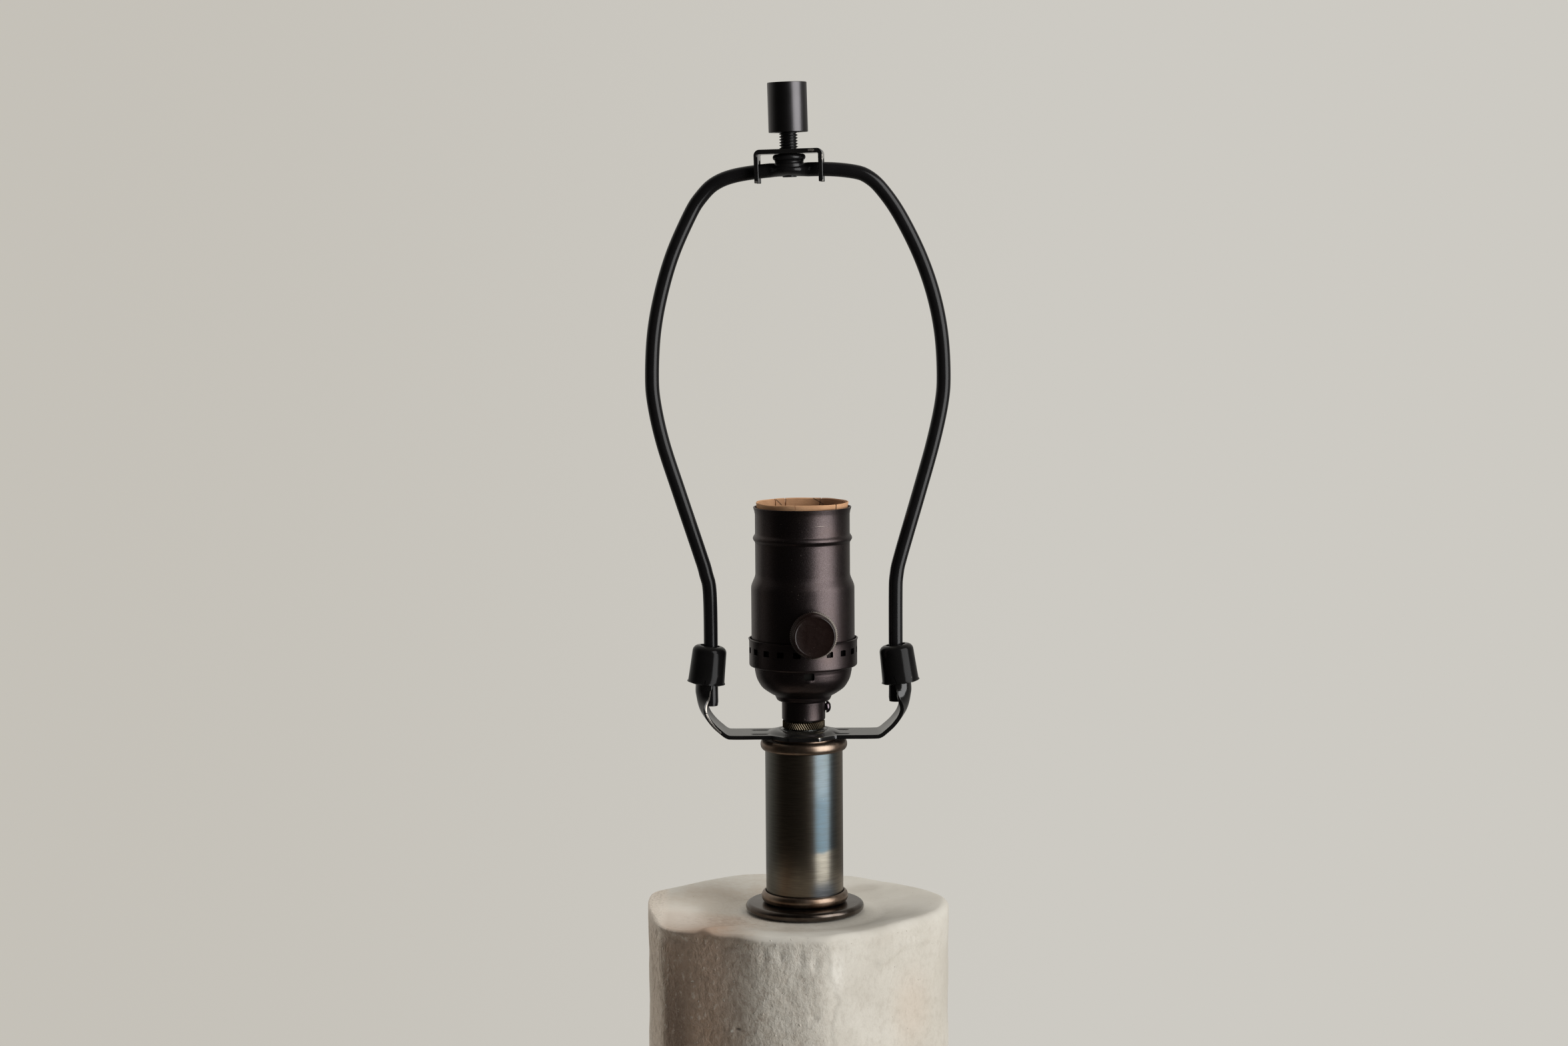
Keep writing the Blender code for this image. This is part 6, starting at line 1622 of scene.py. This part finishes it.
fork_place = rest_place @ Matrix.Translation((0, 0, FORK_WIDTH / 2 - fork_height / 2))
box_cutter(saws, fork_place, (REST_WIDTH + FORK_MARGIN, FORK_WIDTH, fork_height), FORK_ROUND)
carve(rest, saws)
carve(rest, drill(REST_HOLE, REST_DRILL_FROM, REST_DRILL_TO, 48, rest_place))
soften(rest, REST_EDGE, 40)

# Ferrules
# Two cups drawn from thin steel, gloss black, that slide down over the saddle's tips and the harp's legs
# and lock them together. Each has a domed top, a ragged lower lip and a split at its front.

FERRULE_TOP, FERRULE_BOTTOM, FERRULE_FLARE = 0.0057, 0.0061, 0.0003
FERRULE_HEIGHT, FERRULE_WALL, FERRULE_DOME = 0.0126, 0.0005, 0.0021
FERRULE_HOLE = WIRE_RADIUS + 0.0009
FERRULE_FOOT = 0.0077
FERRULE_SHIFT = 0.0016
FERRULE_TILTS_DEG = {-1: 6.6, 1: 7.4}
LIP_RAG, LIP_RAGS = 0.00014, 900
SPLIT_CUT, SPLIT_WIDTH = 0.003, 0.0002
# Place of each split in degrees round the cup, its lean in degrees and its height
SPLITS = {-1: (-93.0, 0.0, 0.0016), 1: (-103.0, 18.0, 0.0030)}
FERRULE_WORN = {
    -1: (
        ((-0.0295, -0.0062, 0.3779), 0.0005, (1.6, 1, 0.6)),
        ((-0.0300, -0.0060, 0.3884), 0.0004, (1, 1, 1.4)),
    ),
    1: (((0.0362, -0.0050, 0.3800), 0.0006, (1, 1, 1)),),
}
for side, name in ((-1, "ferrule_left"), (1, "ferrule_right")):
    shoulder = FERRULE_HEIGHT - FERRULE_DOME
    cup_outer = [
        (FERRULE_BOTTOM + FERRULE_FLARE, 0), (FERRULE_BOTTOM + FERRULE_FLARE * 0.5, FERRULE_FLARE),
        (FERRULE_BOTTOM, FERRULE_FLARE * 2.4),
        *[(FERRULE_BOTTOM + (FERRULE_TOP - FERRULE_BOTTOM) * t, shoulder * t) for t in (0.3, 0.6, 0.85)],
        *arc(FERRULE_TOP - FERRULE_DOME, shoulder, FERRULE_DOME, 0, 90, 10),
        (FERRULE_HOLE, FERRULE_HEIGHT),
    ]
    cup_mesh = turned([*cup_outer, *reversed(wall_inside(cup_outer, FERRULE_WALL))], 96)
    for vert in cup_mesh.verts:
        if vert.co.z < FERRULE_FLARE * 2:
            vert.co.z += LIP_RAG * (1 + noise.noise(vert.co * LIP_RAGS + Vector((side * 5, 0, 0))))
    cup_place = Matrix.Translation((side * (LEG_HALF_SPACING + FERRULE_SHIFT), 0, harp_z + FERRULE_FOOT))
    cup_place = cup_place @ turn(-side * FERRULE_TILTS_DEG[side], "Y")
    bmesh.ops.transform(cup_mesh, matrix=cup_place, verts=cup_mesh.verts)
    look = gloss_black(name + "_enamel", 0.12, FERRULE_WORN[side], 0.15, 0.13)
    cup_piece = settle("drawn_" + name, cup_mesh, look, name, "gloss_black", name)
    around, lean, tall = SPLITS[side]
    split_place = cup_place @ turn(around) @ Matrix.Translation((FERRULE_BOTTOM, 0, 0)) @ turn(lean, "X")
    split = bmesh.new()
    box_cutter(split, split_place, (SPLIT_CUT, SPLIT_WIDTH, 2 * tall))
    carve(cup_piece, split)

# Finial
# A plain cylinder turned from bar, with crisp edges and a deep hole in its underside for the tapped bush.
# Satin black, a little speckled.

FINIAL_EDGE = 0.00022
FINIAL_GAP, FINIAL_HEIGHT, FINIAL_BORE, FINIAL_BORE_DEPTH = 0.0056, 0.01628, 0.0046, 0.0125
FINIAL_RADIUS = 0.0065
finial_low = collar_high + REST_THICKNESS + FINIAL_GAP
finial_high = finial_low + FINIAL_HEIGHT
bore_end = finial_low + FINIAL_BORE_DEPTH
finial_profile = [
    (0, bore_end), (FINIAL_BORE, bore_end), (FINIAL_BORE, finial_low),
    *arc(FINIAL_RADIUS - FINIAL_EDGE, finial_low + FINIAL_EDGE, FINIAL_EDGE, -90, 0, 3),
    *arc(FINIAL_RADIUS - FINIAL_EDGE, finial_high - FINIAL_EDGE, FINIAL_EDGE, 0, 90, 3),
    (0, finial_high),
]
finial_black = satin_black(
    "satin_black_finial", (), 0.29, (0.066, 0.063, 0.065), (0.092, 0.088, 0.091), metallic=1.0
)
settle("turned_finial", turned(finial_profile, 120, crown), finial_black, "finial", "satin_black", "finial")

# Floor, light and camera
# A plain pale floor that fades into a backdrop of the same tone, painted darker towards the left as painted
# shade, one tall soft light from the right, and a room that is darker in front of the lamp than behind it.

BACKDROP = (0.610, 0.591, 0.546)
BACKDROP_SHADED_LEFT = (0.558, 0.533, 0.482)
FLOOR_RADIUS = 1.6
FLOOR_FADE = (0.80, 0.35)
KEY_BEARING_DEG, KEY_DISTANCE, KEY_HEIGHT = 55.5, 1.30, 0.66
KEY_WIDTH, KEY_TALL, KEY_WATTS = 1.15, 2.00, 32.0
TOP_PLACE, TOP_SIZE, TOP_WATTS = (-0.15, 0.30, 1.75), 0.90, 12.0
SIDE_PLACE, SIDE_SIZE, SIDE_WATTS = (-1.15, 0.45, 0.55), 0.90, 6.0
ROOM_FRONT, ROOM_BACK = (0.025, 0.023, 0.021), (0.56, 0.543, 0.504)
EYE = (-0.0061, -0.98004, 0.530)
PITCH_DEG, ROLL_DEG = 5.75, 0.43
LENS_MM = 67.94

floor_mesh = bmesh.new()
bmesh.ops.create_circle(floor_mesh, cap_ends=True, segments=96, radius=FLOOR_RADIUS)
floor_data = bpy.data.meshes.new("floor")
floor_mesh.to_mesh(floor_data)
floor_mesh.free()
floor = bpy.data.objects.new("floor", floor_data)
bpy.context.scene.collection.objects.link(floor)
floor_look = bpy.data.materials.new("pale_floor")
floor_look.use_nodes = True
floor_root = Signal(floor_look.node_tree)
floor_shader = floor_look.node_tree.nodes["Principled BSDF"]
floor_shader.inputs["Base Color"].default_value = (*BACKDROP, 1.0)
floor_shader.inputs["Roughness"].default_value = 0.9
floor_far = floor_root.node("VectorMath", {"operation": "LENGTH"}, {0: place_of(floor_root)}, output=1)
floor_shown = rise(floor_far, *FLOOR_FADE)
floor_look.node_tree.links.new(floor_shown.socket, floor_shader.inputs["Alpha"])
floor_data.materials.append(floor_look)
floor.visible_glossy = False


def panel(name, width, tall, watts, place, target):
    """A soft rectangular light that the camera doesn't see."""
    data = bpy.data.lights.new(name, "AREA")
    data.shape = "RECTANGLE"
    data.size, data.size_y = width, tall
    data.energy = watts
    made = bpy.data.objects.new(name, data)
    made.location = place
    made.rotation_mode = "QUATERNION"
    made.rotation_quaternion = (Vector(target) - made.location).to_track_quat("-Z", "Y")
    made.visible_camera = False
    bpy.context.scene.collection.objects.link(made)
    return made


key_angle = math.radians(KEY_BEARING_DEG)
key_place = (KEY_DISTANCE * math.sin(key_angle), -KEY_DISTANCE * math.cos(key_angle), KEY_HEIGHT)
panel("key", KEY_WIDTH, KEY_TALL, KEY_WATTS, key_place, (0, 0, 0.40))
panel("top", TOP_SIZE, TOP_SIZE, TOP_WATTS, TOP_PLACE, (0, 0, 0.30)).visible_glossy = False
panel("side", SIDE_SIZE, SIDE_SIZE, SIDE_WATTS, SIDE_PLACE, (0, 0, 0.30)).visible_glossy = False

world = bpy.data.worlds.new("studio")
world.use_nodes = True
bpy.context.scene.world = world
sky = Signal(world.node_tree)
toward_x, toward_y, toward_z = (
    sky.node("SeparateXYZ", inputs={0: sky.node("TexCoord")}, output=axis) for axis in (0, 1, 2)
)
behind, above = rise(toward_y, -0.35, 0.75), rise(toward_z, -0.35, 0.10)
leftward = rise(toward_x, 0.9, -0.6)
room = tint(ROOM_FRONT, ROOM_BACK, behind * (0.45 + 0.55 * above) * (0.55 + 0.45 * leftward))
# Painted shade on the backdrop: darker towards the left
shown = tint(BACKDROP_SHADED_LEFT, BACKDROP, rise(toward_x, -0.26, 0.12))
room = tint(room, shown, sky.node("LightPath", output=0))
world.node_tree.links.new(room.socket, world.node_tree.nodes["Background"].inputs["Color"])

camera_data = bpy.data.cameras.new("camera")
camera_data.lens = LENS_MM
camera_data.sensor_width = 36.0
camera_data.clip_start = 0.01
camera = bpy.data.objects.new("camera", camera_data)
camera.rotation_mode = "QUATERNION"
camera.location = EYE
camera.rotation_quaternion = (turn(90 - PITCH_DEG, "X") @ turn(-ROLL_DEG)).to_quaternion()
bpy.context.scene.collection.objects.link(camera)
bpy.context.scene.camera = camera
bpy.context.scene.view_settings.view_transform = "Standard"
